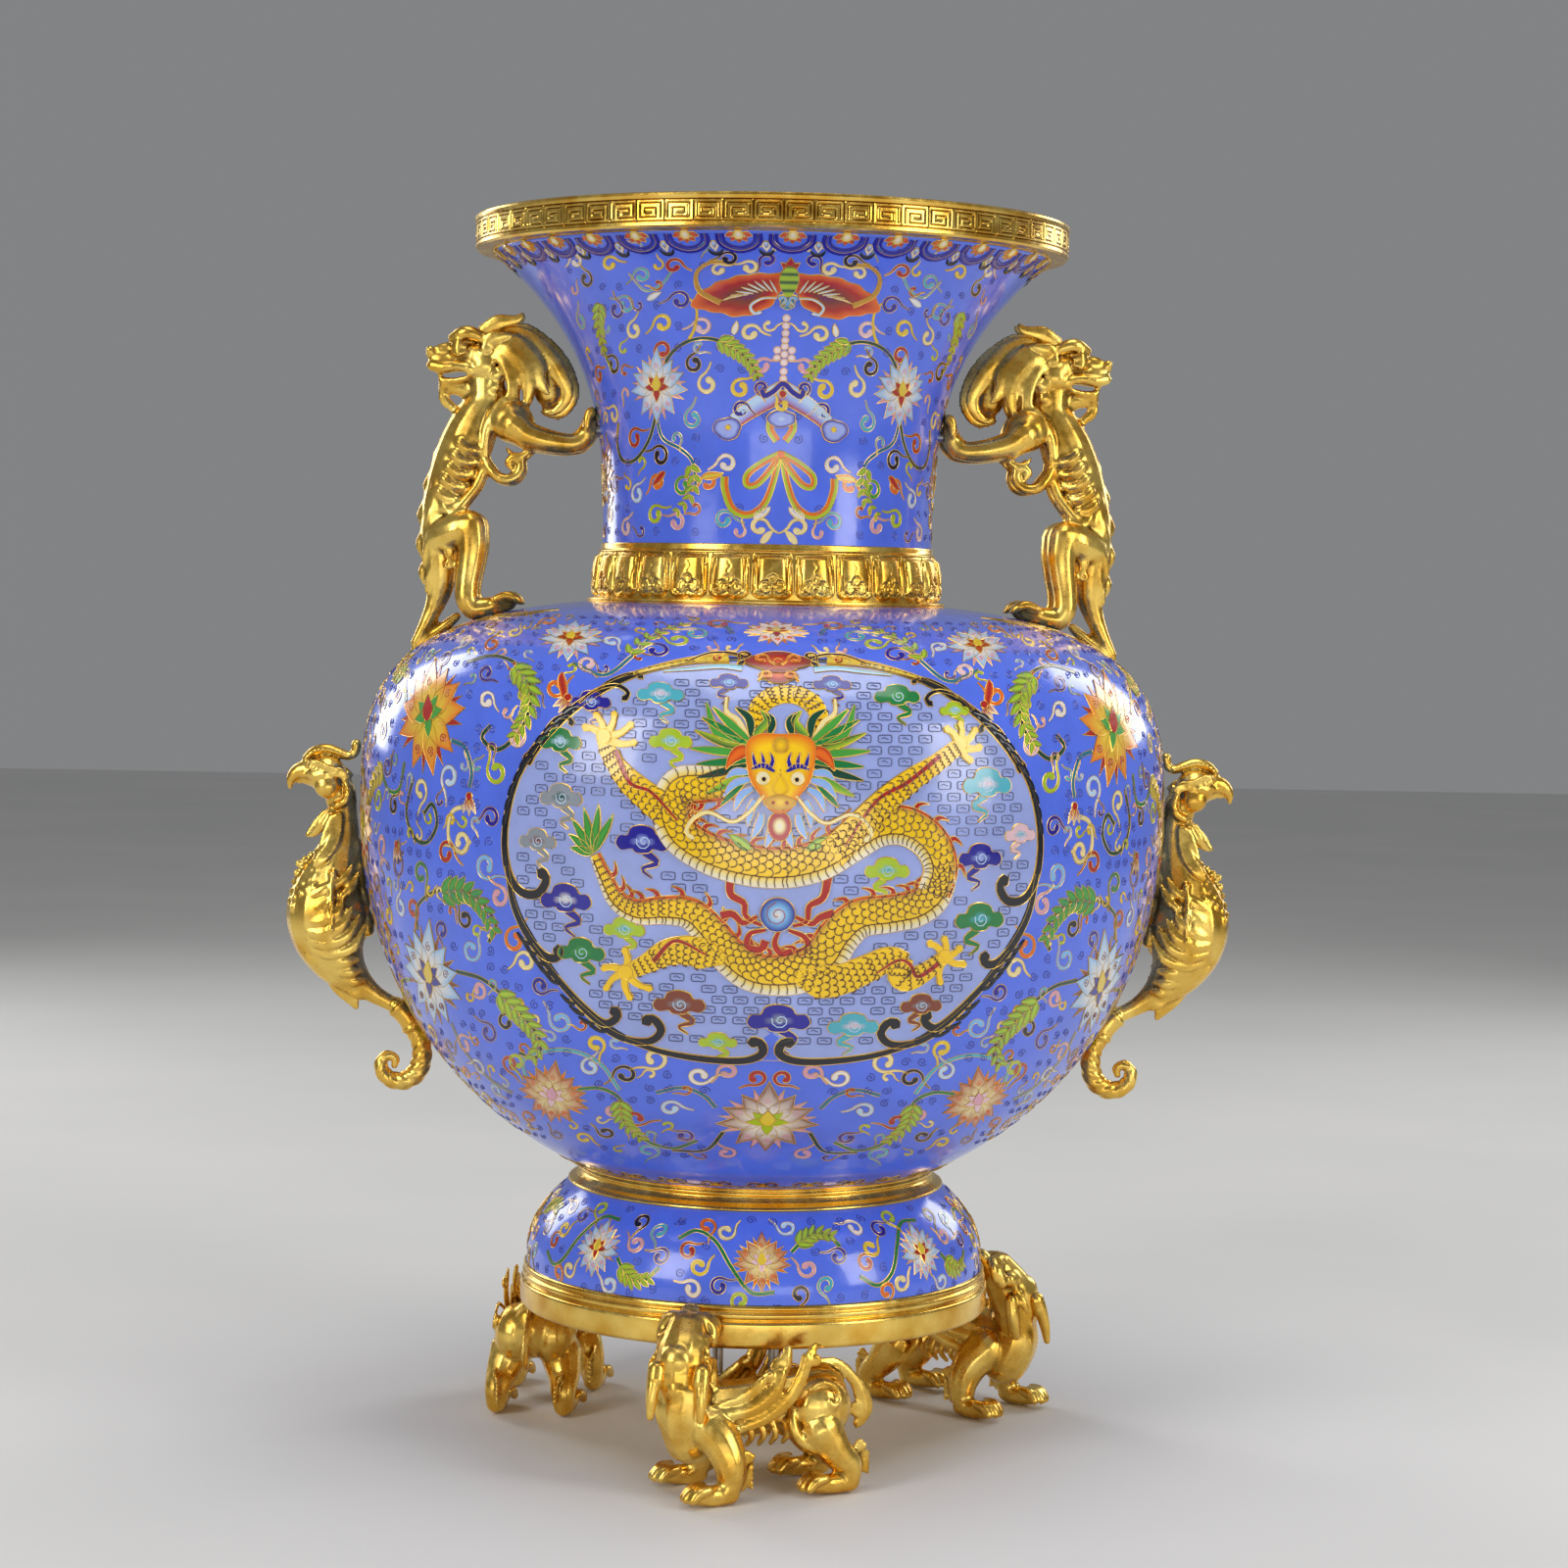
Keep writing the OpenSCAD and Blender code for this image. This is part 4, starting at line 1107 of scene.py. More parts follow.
def ruyi_border():
    """One repeat of the border under the rim: a cobalt double arch over a half flower, and a pendant."""
    arch = [(-9.6, -1.2), (-9.4, -6.4), (-5.6, -10.2), (0, -11.8), (5.6, -10.2), (9.4, -6.4), (9.6, -1.2)]
    inner = [(-7.4, -1.2), (-7.0, -5.6), (-4, -8.4), (0, -9.4), (4, -8.4), (7.0, -5.6), (7.4, -1.2)]
    parts = [wire(smooth_path(arch, 14), 2, 1.35, ink="cobalt"),
             wire(smooth_path(inner, 12), 1, 0.7, ink="cobalt"),
             wire(smooth_path(arch, 14) * 0.94, 3, 0.2)]
    parts += [petal(6.9, 1.7, turn, "red", "orange", 2, 2.0) for turn in (-22, -56, -90, -124, -158)]
    parts += [petal(4.2, 0.9, turn, "white", "yellow", 3, 1.6) for turn in (-40, -73, -107, -140)]
    parts.append(bead(0, -1.4, 2.5, "white", "yellow", layer=4))
    drop = join(petal(6.6, 2.1, -90, "white", "white", 2, 0), petal(4.6, 1.2, -90, "cobalt", "pale", 3, 0))
    parts += [moved(drop, 12.2, -5.4),
              moved(wire(smooth_path([(-3.4, 1.6), (-2.2, -0.6), (0, -1.4), (2.2, -0.6), (3.4, 1.6)], 8), 2,
                         np.array([0.2, 0.6, 0.9, 1.0, 1.0, 0.9, 0.6, 0.2]), ink="black"), 12.2, -12.2)]
    return join(parts)


NECK_TURN = 2.0
NECK_MIDDLE_Z = 513.0
for face, azimuth in (("front", NECK_TURN), ("back", 180 + NECK_TURN)):
    cells = Cells(neck_skin)
    cells.lay(join(both(neck_half()), ribboned_chime(), bat(), bead_string()), azimuth, NECK_MIDDLE_Z)
    cells.finish("neck_cloisonne_" + face)

cells = Cells(neck_skin)
RUYI_COUNT = 34
border = ruyi_border()
for k in range(RUYI_COUNT):
    cells.lay(border, NECK_TURN + k * 360 / RUYI_COUNT, RIM_Z - 1.2)
cells.finish("neck_cloisonne_border")

# %% [markdown]
# ## Gilt castings
# Beasts and birds were cast in bronze, chased and gilded. They are modelled like wax: rods, pellets
# and locks pressed together. A voxel remesh then fuses them into one skin, and smoothing rounds the
# joins. Every rod is a list of (x, y, z, radius) through which a smooth path is carried.

# %% Wax shapes
def rod(rows, flat=1.0, sides=12, spacing=1.4, twist=None, face=(0, 1, 0)):
    """A round-ended rod through rows of (x, y, z, radius), as points and quads.

    flat scales its thickness along the direction face. twist is a function of the length and the
    angle round the rod, giving a factor on the radius.
    """
    rows = np.asarray(rows, float)
    length = np.linalg.norm(np.diff(rows[:, :3], axis=0), axis=1).sum()
    path = smooth_path(rows, max(5, int(length / spacing) + 2))
    centre, r = path[:, :3], np.maximum(path[:, 3], 0.3)
    along = np.gradient(centre, axis=0)
    along /= np.linalg.norm(along, axis=1, keepdims=True)
    cap = np.radians([80, 50, 25])
    ends = [(centre[0] - along[0] * r[0] * np.sin(a), along[0], r[0] * np.cos(a)) for a in cap]
    ends2 = [(centre[-1] + along[-1] * r[-1] * np.sin(a), along[-1], r[-1] * np.cos(a)) for a in cap[::-1]]
    centre = np.vstack([[e[0] for e in ends], centre, [e[0] for e in ends2]])
    along = np.vstack([[e[1] for e in ends], along, [e[1] for e in ends2]])
    r = np.concatenate([[e[2] for e in ends], r, [e[2] for e in ends2]])
    thin = np.asarray(face, float) - (along @ np.asarray(face, float))[:, None] * along
    weak = np.linalg.norm(thin, axis=1) < 0.2
    thin[weak] = np.cross(along[weak], [1, 0.3, 0.2])
    thin /= np.linalg.norm(thin, axis=1, keepdims=True)
    wide = np.cross(thin, along)
    angle = np.linspace(0, 2 * np.pi, sides, endpoint=False)
    if twist:
        s = path_length(centre)
        r = r[:, None] * twist(s[:, None], angle[None, :])
    else:
        r = np.repeat(r[:, None], sides, 1)
    ring = np.cos(angle)[:, None] * wide[:, None] + flat * np.sin(angle)[:, None] * thin[:, None]
    points = centre[:, None] + r[..., None] * ring
    n = len(centre)
    first, last = centre[:1] - along[:1] * 0.01, centre[-1:] + along[-1:] * 0.01
    faces = grid_faces(n, sides, False, True)
    k = np.arange(sides)
    k2 = (k + 1) % sides
    a, b = n * sides, n * sides + 1
    low = np.stack([np.full(sides, a), k2, k, k], 1)
    high = np.stack([np.full(sides, b), (n - 1) * sides + k, (n - 1) * sides + k2, (n - 1) * sides + k2], 1)
    return np.vstack([points.reshape(-1, 3), first, last]), np.vstack([faces, low, high])


def pellet(x, y, z, rx, ry=None, rz=None):
    """An ellipsoid of wax."""
    ry, rz = ry or rx, rz or rx
    v, u = np.meshgrid(np.linspace(0.02, np.pi - 0.02, 12), np.linspace(0, 2 * np.pi, 16, endpoint=False),
                       indexing="ij")
    points = np.stack([x + rx * np.sin(v) * np.cos(u), y + ry * np.sin(v) * np.sin(u), z - rz * np.cos(v)],
                      -1)
    faces = grid_faces(12, 16, False, True)
    caps = np.array([[0, 15 - k, 14 - k, 14 - k] for k in range(14)]
                    + [[176, 177 + k, 178 + k, 178 + k] for k in range(14)])
    return points.reshape(-1, 3), np.vstack([faces, caps])


def lock(rows, count=3, spread=0.75, face=(0, 1, 0), flat=0.8):
    """A lock of hair or a feather: fine strands side by side, following one row of points."""
    rows = np.asarray(rows, float)
    along = np.gradient(rows[:, :3], axis=0)
    across = np.cross(along, np.asarray(face, float))
    across /= np.maximum(np.linalg.norm(across, axis=1, keepdims=True), 1e-6)
    core = rows * (1, 1, 1, 0.75)
    parts = [rod(core, 0.6, face=face)]
    for k in range(count):
        share = (k - (count - 1) / 2) / max(count - 1, 1) * 2
        strand = rows.copy()
        strand[:, :3] += across * (rows[:, 3:] * spread * share)
        strand[:, 3] = np.maximum(rows[:, 3] * 1.15 / count, 0.45)
        parts.append(rod(strand, flat, 8, face=face))
    return fuse(parts)


def coil(x, y, z, r, thick=1.1, start=0, turns=1.5, hand=1, face=(0, 1, 0)):
    """A small spiral curl whose axis is face, winding inwards from the angle start."""
    t = np.linspace(0, 1, int(14 * turns))
    a = math.radians(start) + hand * 2 * np.pi * turns * t
    radius = r * (1 - 0.8 * t)
    axis = np.asarray(face, float) / np.linalg.norm(face)
    first = np.cross(axis, (0, 0, 1) if abs(axis[2]) < 0.9 else (1, 0, 0))
    second = np.cross(first, axis)
    centre = np.array([x, y, z]) + radius[:, None] * (np.cos(a)[:, None] * first + np.sin(a)[:, None]
                                                      * second)
    return rod(np.column_stack([centre, thick * (1 - 0.25 * t)]), 1.0, 8, 0.9)


def fuse(parts):
    """Several wax shapes as one pair of arrays."""
    start = np.cumsum([0] + [len(p) for p, _ in parts[:-1]])
    return np.vstack([p for p, _ in parts]), np.vstack([f + k for (_, f), k in zip(parts, start)])


def twin(parts):
    """The shapes and their mirror images across the plane y = 0."""
    points, faces = fuse(parts)
    return fuse([(points, faces), (points * (1, -1, 1), faces[:, ::-1])])


# %% [markdown]
# Remeshing gives every casting an even skin. The depth of each point below its neighbours, averaged
# over a few rings of neighbours, is kept as `hollow`: the gilding uses it to darken the grooves, partly
# as tarnish where a polishing cloth does not reach and partly as painted shade in place of occlusion.

# %% From wax to casting
def skin_of(parts, voxel=0.95, rounds=2):
    """Fuses wax shapes with a voxel remesh of the given size and rounds it; returns points, quads."""
    points, faces = fuse(parts)
    triangles = np.vstack([faces[:, [0, 1, 2]], faces[:, [0, 2, 3]]])
    real = (triangles != np.roll(triangles, 1, axis=1)).all(1)
    triangles = triangles[real].astype(np.int32)
    mesh = bpy.data.meshes.new("wax")
    mesh.vertices.add(len(points))
    mesh.vertices.foreach_set("co", points.ravel())
    mesh.loops.add(triangles.size)
    mesh.loops.foreach_set("vertex_index", triangles.ravel())
    mesh.polygons.add(len(triangles))
    mesh.polygons.foreach_set("loop_start", np.arange(len(triangles)) * 3)
    mesh.update(calc_edges=True)
    wax = bpy.data.objects.new("wax", mesh)
    bpy.context.scene.collection.objects.link(wax)
    remesh = wax.modifiers.new("remesh", "REMESH")
    remesh.mode, remesh.voxel_size = "VOXEL", voxel
    cast = wax.evaluated_get(bpy.context.evaluated_depsgraph_get()).to_mesh()
    p = np.empty(len(cast.vertices) * 3)
    cast.vertices.foreach_get("co", p)
    sizes = np.empty(len(cast.polygons), np.int32)
    cast.polygons.foreach_get("loop_total", sizes)
    corners = np.empty(len(cast.loops), np.int32)
    cast.loops.foreach_get("vertex_index", corners)
    bpy.data.objects.remove(wax)
    bpy.data.meshes.remove(mesh)
    p, quads = p.reshape(-1, 3), corners.reshape(-1, 4)
    return soothe(p, quads, rounds), quads


def neighbours(quads):
    """Both ends of every edge of the quads, each edge once in each direction."""
    ends = np.concatenate([quads[:, [k, (k + 1) % 4]] for k in range(4)])
    return np.unique(np.vstack([ends, ends[:, ::-1]]), axis=0).T


def average(values, here, there, count):
    """Mean of values over the neighbours of each point."""
    total = np.stack([np.bincount(here, values[there, k], count) for k in range(values.shape[1])], 1)
    return total / np.maximum(np.bincount(here, minlength=count), 1)[:, None]


def soothe(points, quads, rounds):
    """Moves every point halfway to the mean of its neighbours, a few times."""
    here, there = neighbours(quads)
    for _ in range(rounds):
        points = 0.5 * points + 0.5 * average(points, here, there, len(points))
    return points


def hollows(points, quads, rings=6):
    """How far each point lies below the mean of its surroundings, 0 on open skin, 1 in a groove."""
    here, there = neighbours(quads)
    a, b = points[quads[:, 2]] - points[quads[:, 0]], points[quads[:, 3]] - points[quads[:, 1]]
    faces = np.cross(a, b)
    normals = np.stack([np.bincount(quads.ravel(), np.repeat(faces[:, k], 4), len(points))
                        for k in range(3)], 1)
    normals /= np.maximum(np.linalg.norm(normals, axis=1, keepdims=True), 1e-9)
    mean = points
    for _ in range(rings):
        mean = average(mean, here, there, len(points))
    depth = ((mean - points) * normals).sum(1)[:, None]
    for _ in range(2):
        depth = average(depth, here, there, len(points))
    return np.clip(0.12 + depth[:, 0] * 2.6, 0, 1)


def casting(name, shape, depth, stands_for, mirror=False, turn=0.0):
    """Writes one casting from its points and quads, mirrored in x or turned about z by degrees."""
    points, quads = shape
    a = math.radians(turn)
    points = points @ np.array([[math.cos(a), math.sin(a), 0], [-math.sin(a), math.cos(a), 0], [0, 0, 1]])
    if mirror:
        points, quads = points * (-1, 1, 1), quads[:, ::-1]
    return write_mesh(name, points, [quads], [gilt_cast], (stands_for,), hollow=depth, sharp=180)


# %% [markdown]
# ### Climbing beasts
# Each handle is a beast standing on the shoulder of the vase with its fore paws against the neck. It
# looks back over its own spine. x is the distance from the axis, and y = 0 cuts it in half.

# %% Beast handles
TRUNK = [(138, 0, 512, 9.5), (143, 0, 503, 11.5), (148, 0, 492, 13), (153, 0, 479, 13), (157.5, 0, 467, 11.5),
         (160.5, 0, 455, 10.5), (161.5, 0, 442, 9.5), (161, 0, 430, 8.5), (161, 0, 420, 7),
         (163.5, 0, 410, 5),
         (168, 0, 400, 3.6), (173, 0, 391, 2.4)]


def flank(x, z, rows=TRUNK):
    """Half width of the trunk at x, z: where a detail has to lie to touch it."""
    rows = np.array(rows)[::-1]
    middle, r = np.interp(z, rows[:, 2], rows[:, 0]), np.interp(z, rows[:, 2], rows[:, 3])
    return float(np.sqrt(max(r * r - (x - middle) ** 2, 4)))


beast = [rod(TRUNK, 0.95), rod([(140, 0, 522, 9), (139, 0, 512, 9.5)]), pellet(141, 0, 531, 11.5, 10, 10)]
beast += [rod([(146, 0, 533, 8), (155, 0, 531, 6), (163, 0, 530.5, 5.2)]),
          pellet(166, 0, 533.5, 3.8, 4.4, 3.4),
          rod([(153, 0, 537, 3.6), (162, 0, 535.5, 3.2)]),
          rod([(137, 0, 517.5, 6.5), (147, 0, 516.5, 5), (156, 0, 517, 3.6)]),
          pellet(160, 0, 518, 3.4, 4, 3.2)]
beast.append(twin([
    pellet(140.5, 6, 528, 6.6, 5, 6.2), pellet(135, 6.5, 523.5, 5, 4, 4.6),
    pellet(136, 6, 517.5, 4.6, 4, 4.2),
    pellet(167.5, 2.6, 535, 2.2),
    rod([(166.5, 2.5, 527.5, 2.8), (160, 4.8, 526.5, 2.7), (153, 6.3, 527.2, 2.3), (148, 7.5, 526, 1.8)]),
    coil(147, 8.2, 524.5, 2.2, 0.9, 90, 1.3),
    rod([(161.5, 2, 520.3, 1.9), (155, 4.3, 520.4, 1.5), (149.5, 6, 521.4, 1.4)]),
    pellet(162.5, 2.6, 523, 1.3, 1.3, 2.4),
    rod([(156.5, 4.6, 541, 2.4), (150.5, 6.6, 543.6, 3.6), (144.5, 7.6, 542.6, 3.2), (140, 8.4, 540, 1.8)]),
    pellet(153.2, 7, 535.6, 2.7),
    rod([(157, 6, 536.8, 0.8), (153.3, 8.6, 538.9, 1.1), (149.5, 8.6, 536.6, 0.9)]),
    rod([(157, 6.3, 534, 0.8), (153.3, 8.8, 532.6, 1), (149.5, 8.8, 534, 0.9)]),
    lock([(141.5, 9.5, 539, 1.6), (137, 10.6, 541.4, 2.4), (132, 11.2, 542.2, 1.8),
          (128, 11.5, 543.6, 0.7)], 2),
    coil(140, 10.2, 536.6, 2.2, 0.9, 200, 1.3),
    lock([(137, 9, 533, 2.2), (131.5, 10.6, 530.5, 3), (127, 11.3, 522, 3.2), (126, 11.4, 512, 2.7),
          (121.5, 11.2, 505, 1.2)]),
    lock([(136, 9, 537.5, 2.4), (127.5, 11.2, 535, 3.4), (120.5, 11.8, 527, 3.6), (118.8, 11.6, 517, 3),
          (119.8, 11.2, 507, 1.2)]),
    lock([(135, 8, 541.5, 2.4), (124.5, 10.2, 538.6, 3.4), (115.8, 10.8, 529.5, 3.6), (112.6, 10.4, 519, 3),
          (108.5, 9.6, 513.5, 1.2)]),
    lock([(134, 5, 544, 2.8), (122, 7.4, 543, 3.8), (110.8, 8.6, 535, 4), (103.8, 8.4, 525, 3.8),
          (99.8, 7.6, 515, 3.2),
          (104, 6.4, 507, 2.4), (111, 5.6, 505, 1.4)]),
    pellet(126.5, 10.5, 500.5, 10.8, 7.4, 10.2),
    rod([(125, 11.5, 498.5, 9), (118.5, 13, 494, 7), (108, 13.8, 491, 5.9),
          (98, 13.6, 490, 5.1), (93.5, 13.2, 491, 5)]),
          rod([(93.5, 13, 491, 5.1), (89.6, 12.6, 495.5, 5), (88.4, 12.4, 501, 4)]),
    coil(120, 15.8, 490, 2.4, 1.0, 0, 1.5, -1),
    rod([(129, 12, 487.5, 1), (125, 13.6, 483.5, 1.8), (119.5, 14, 484.5, 1.9), (115.5, 14, 488, 1)], 0.7),
    rod([(138.5, 10.5, 480, 2.6), (133.5, 12, 473.6, 2.8), (127, 13, 472, 2.8), (122.3, 13, 475.5, 2.6),
         (121.8, 13, 480.3, 2.4),
         (125, 13, 482.8, 2.1), (128.3, 13, 480.3, 1.9), (126.3, 13, 477.6, 1.5)]),
    rod([(128.5, 11, 513, 1.4), (134.5, 11.4, 507, 2), (138.6, 11, 497, 2.3), (139.6, 10.6, 487, 2.3),
         (139.6, 10, 478.5, 2.2),
         (142.5, 10, 470, 2.4), (148.5, 10.8, 461.5, 2.4), (154, 11, 456, 2.4), (158.5, 10.4, 458, 2.1),
         (158, 10.4, 462.6, 1.9),
         (154.3, 10.8, 463, 1.7), (154, 10.8, 460, 1.3)], 0.8),
    rod([(160, 4, 444, 8.8), (152.5, 9, 447, 9), (146.5, 11.5, 449.3, 7.8)]),
    rod([(145.6, 12, 448.6, 8), (144.8, 12.6, 440, 7.4), (145.8, 13, 430, 6.6), (147, 13.6, 421, 6),
         (147, 14.2, 413, 5.8),
         (144, 14.6, 408, 5.2)]), coil(156.5, 11.5, 430, 3, 1.1, 90, 1.4),
         lock([(154, 11.2, 443, 1.6), (156.5, 11.4, 437, 2.2), (156, 11.5, 431, 1.2)], 2),
    rod([(144, 14.6, 408.4, 5.2), (136, 15, 409.6, 4.8), (128, 15.2, 411.6, 4.2)]),
]))
for k in range(4):
    y = 13 + (k - 1.5) * 2.9
    beast.append(twin([rod([(89.6, y, 498, 2.0), (89.2, y, 503.5, 2.3), (87.4, y, 506.8, 2.0),
                            (86, y, 504.4, 1.1)]),
                       rod([(133, y + 2.2, 413.4, 2), (127.5, y + 2.4, 415.4, 2.3),
                            (123, y + 2.6, 413.8, 2.2), (120.6, y + 2.6, 411.4, 1.1)])]))
for k in range(5):
    x, z = 143.5 + 2.4 * k, 488.5 - 6 * k
    bend = [(x - 3, z - 1.5), (x + 1, z - 3), (x + 5.5, z - 1.5), (x + 8.5, z + 1.5)]
    beast.append(twin([rod([(a, flank(a, c) * 0.95 - 0.2, c, 2.3) for a, c in bend])]))
for k in range(6):
    z = 500 - 14 * k
    x = float(np.interp(z, [row[2] for row in TRUNK[::-1]], [row[0] + row[3] for row in TRUNK[::-1]]))
    beast.append(twin([rod([(x - 4.5, flank(x - 4.5, z) * 0.9, z, 0.8),
                            (x - 3.2, flank(x - 3, z - 5) * 0.8, z - 6, 1.9),
                            (x - 1.6, 3.6, z - 13, 1.2)], 0.8)]))
    beast.append(rod([(x - 1, 0, z + 2, 1.4), (x + 0.4, 0, z - 4, 2.2), (x - 0.6, 0, z - 10, 1)]))
beast += [lock([(133, 0, 545, 3), (121, 0, 544.8, 4), (108.5, 0, 535.5, 4.4), (100.6, 0, 524, 4.4),
                (98.4, 0, 513, 3.8),
                (104, 0, 505, 2.6), (112, 0, 506, 1.6)], 4, 0.9),
                rod([(133, 0, 536, 9), (122, 0, 533, 9), (112, 0, 524, 9), (109, 0, 515, 7)]),
          lock([(161, 0, 515.5, 2.4), (160, 0, 511, 2.6), (156, 0, 507, 2.2), (152.5, 0, 503, 1.6)], 3),
          rod([(174, 0, 387.4, 1.6), (168, 0, 392, 2.5), (158, 0, 400, 2.8), (152.5, 0, 404.6, 2.2)])]
beast_skin = skin_of(beast, 1.0, 2)
beast_depth = hollows(*beast_skin)
horns = [twin([lock([(141.5, 5.6, 544.5, 3.4), (134.5, 6.6, 548.6, 4.2), (128.5, 7.4, 549.8, 3),
                     (124, 7.8, 550.8, 2.2),
                     (121.6, 8, 553.4, 1)], 3, 0.6, flat=1)])]
horn_skin = skin_of(horns, 0.7, 2)
horn_depth = hollows(*horn_skin)
for side, mirror in (("right", False), ("left", True)):
    casting("beast_handle_cast_" + side, beast_skin, beast_depth, "beast_handle_" + side, mirror)
    casting("beast_horns_cast_" + side, horn_skin, horn_depth, "beast_horns_" + side, mirror)

# %% [markdown]
# ### Birds
# A crested bird hangs under each handle, its back to the belly of the vase. A ferrule joins its tail
# to a twisted scroll.

# %% Bird handles
BIRD_BODY = [(209, 0, 316, 8), (207.5, 0, 305, 7.2), (208, 0, 293, 9.2), (211, 0, 281, 13),
             (214, 0, 268, 18), (214.6, 0, 256, 20.4),
             (213, 0, 244, 18.4), (208.5, 0, 233, 13.8), (201, 0, 224, 8.5), (192, 0, 217, 5),
             (184, 0, 212.5, 4), (179.5, 0, 210, 4)]
bird = [rod(BIRD_BODY, 0.86), pellet(216, 0, 325.5, 10, 9, 9.4),
        rod([(222, 0, 327.5, 5.6), (229, 0, 326.8, 4.3), (233, 0, 323, 2.8), (233.8, 0, 318.4, 1)]),
        rod([(221, 0, 322.3, 3.8), (227, 0, 322.6, 2.3), (229.3, 0, 321.4, 1.1)]),
        rod([(226, 0, 333.3, 2), (222, 0, 336.6, 2.5), (216, 0, 337.8, 2.7), (210, 0, 336.2, 2.5),
             (205, 0, 334.5, 2.3), (202, 0, 336.2, 2.2),
             (201.3, 0, 340.4, 2.6)]),
        lock([(214, 0, 226, 2.4), (208, 0, 221, 4.4), (202.6, 0, 215, 3.6), (199.6, 0, 209, 0.9)], 3),
        lock([(215, 0, 306, 2.6), (220, 0, 299.5, 3), (225.5, 0, 294.6, 0.9)], 3)]
bird.append(twin([
    pellet(215, 4.6, 319.8, 6.6, 5, 6.2), pellet(221, 6.6, 328.4, 1.9), coil(221, 7.4, 328.4, 2.7, 0.7, 0, 1),
    rod([(225, 5.4, 330, 0.8), (221.5, 7.4, 331.8, 1.2), (217, 8.4, 330.2, 1), (211, 8.6, 328, 0.9)]),
    rod([(224.5, 5.8, 326, 0.7), (221, 7.6, 324.9, 0.9), (216.5, 8.6, 325.8, 0.9)]),
    rod([(230.5, 2.4, 324.9, 0.7), (226, 4.2, 325, 0.9), (222.4, 5.4, 324.2, 0.8)]),
    lock([(213.5, 8.2, 327.6, 1.4), (208.6, 9, 326.6, 2.1), (203.6, 8.6, 324.6, 0.7)], 2),
    rod([(206.8, 8, 324.6, 1.4), (204.5, 8.2, 318, 2), (206, 8, 312.6, 2), (210.5, 7.2, 310.2, 1.5)],
        twist=lambda s, a: 1 + 0.16 * np.sin(3.2 * s + 2 * a)),
    lock([(213, 5, 308, 1.8), (217, 6, 301.6, 2.3), (221, 4.4, 296.6, 2), (224.6, 2, 294.4, 0.8)]),
    lock([(211.5, 7, 305, 1.8), (214, 8, 298, 2.3), (216.2, 8.4, 292, 2), (218.8, 8, 286.8, 0.8)]),
    lock([(209, 7.2, 306, 1.6), (210, 8, 298, 2.2), (212.6, 9.4, 290.4, 2.5), (217, 11, 284.4, 2.2),
          (220.6, 11.4, 280.4, 0.8)], 2),
    coil(229.2, 9.6, 260.6, 2.7, 1, 0, 1.5, -1),
    lock([(228, 10.5, 262, 1.6), (222, 13.4, 265.4, 2.6), (216, 14.6, 268.4, 2.8), (210.6, 14.6, 272.6, 1)],
         4),
    lock([(226, 12.6, 257, 1.4), (220, 15, 259.4, 2.4), (214.4, 16, 262.6, 2.4), (210.4, 16, 266.4, 0.9)], 3),
    lock([(222.5, 15, 252.6, 1.4), (216, 16.8, 253.4, 2.6), (209.4, 17, 257.4, 2.4),
          (205.4, 16, 263.6, 0.9)], 3),
    lock([(223, 14.8, 248.4, 1.4), (214.4, 17.2, 248, 2.8), (206, 16.6, 252.6, 2.6), (201, 14.6, 261, 0.9)],
         3),
    lock([(223, 13.6, 244, 1.4), (213, 16.4, 242.8, 2.8), (203.4, 15.4, 247.4, 2.8), (197.6, 13, 257, 0.9)],
         3),
    lock([(222.4, 12, 240, 1.4), (211.6, 14.8, 237.8, 2.8), (200.6, 13.8, 241.8, 2.8),
          (194.6, 11, 252.6, 0.9)], 3),
    lock([(209.6, 14.6, 271.4, 1.6), (204.6, 13, 276, 2.2), (201.6, 10.6, 281.6, 0.8)], 3),
    lock([(206.4, 15, 266, 1.6), (201.4, 13, 271.4, 2.2), (198.6, 10, 278, 0.8)], 3),
    rod([(211, 12.6, 277.4, 1.8), (211.4, 15.6, 268, 1.2), (211, 17.6, 256, 1.1), (211.4, 17, 243, 1)]),
    pellet(211, 13, 277, 2),
    pellet(211.2, 17, 262, 1.7), pellet(211.2, 17.8, 250, 1.6),
    lock([(215, 9.6, 235.6, 1.4), (206, 11, 233.4, 2.7), (198, 8.6, 234.8, 1.4)], 3),
    lock([(211.5, 8.8, 230.8, 1.3), (203.4, 9.8, 228, 2.5), (196.4, 7.4, 229.2, 1.3)], 3),
    lock([(207.5, 7.4, 226.4, 1.2), (200.6, 7.8, 223.2, 2.2), (194.8, 5.8, 224.6, 1.2)], 3),
    lock([(225, 8, 243, 1.8), (221, 10, 235.6, 3), (216.4, 8.4, 229.4, 1.2)], 3),
    lock([(206, 3.6, 222.4, 1.2), (200, 4.4, 217.6, 2.2), (196, 3, 214, 0.8)], 2),
]))
for a, b in (((207, 307), (203.6, 298)), ((203, 295), (200.8, 286)), ((200.6, 283), (198.6, 273)),
             ((198.4, 270), (196.8, 260)), ((196.4, 257), (194.6, 248))):
    bird.append(rod([(a[0], 0, a[1], 3.2), ((a[0] + b[0]) / 2 - 0.3, 0, (a[1] + b[1]) / 2, 4),
                     (b[0], 0, b[1], 3.2)], 1.35))
for row in range(5):
    for k in range(5 - row // 3):
        x, z = 232.6 - 3.1 * k - row * 0.9, 262.5 + 4.6 * row + 2.1 * k
        bird.append(twin([pellet(x, flank(x, z, BIRD_BODY) * 0.86 - 0.4, z, 1.9, 1.2, 1.9)]))
beads = smooth_path([(226, 333.3), (222, 336.6), (216, 337.8), (210, 336.2), (205, 334.5)], 12)
bird += [twin([pellet(x, 2.2, z, 0.95) for x, z in beads])]
bird_skin = skin_of(bird, 0.72, 1)
bird_depth = hollows(*bird_skin)
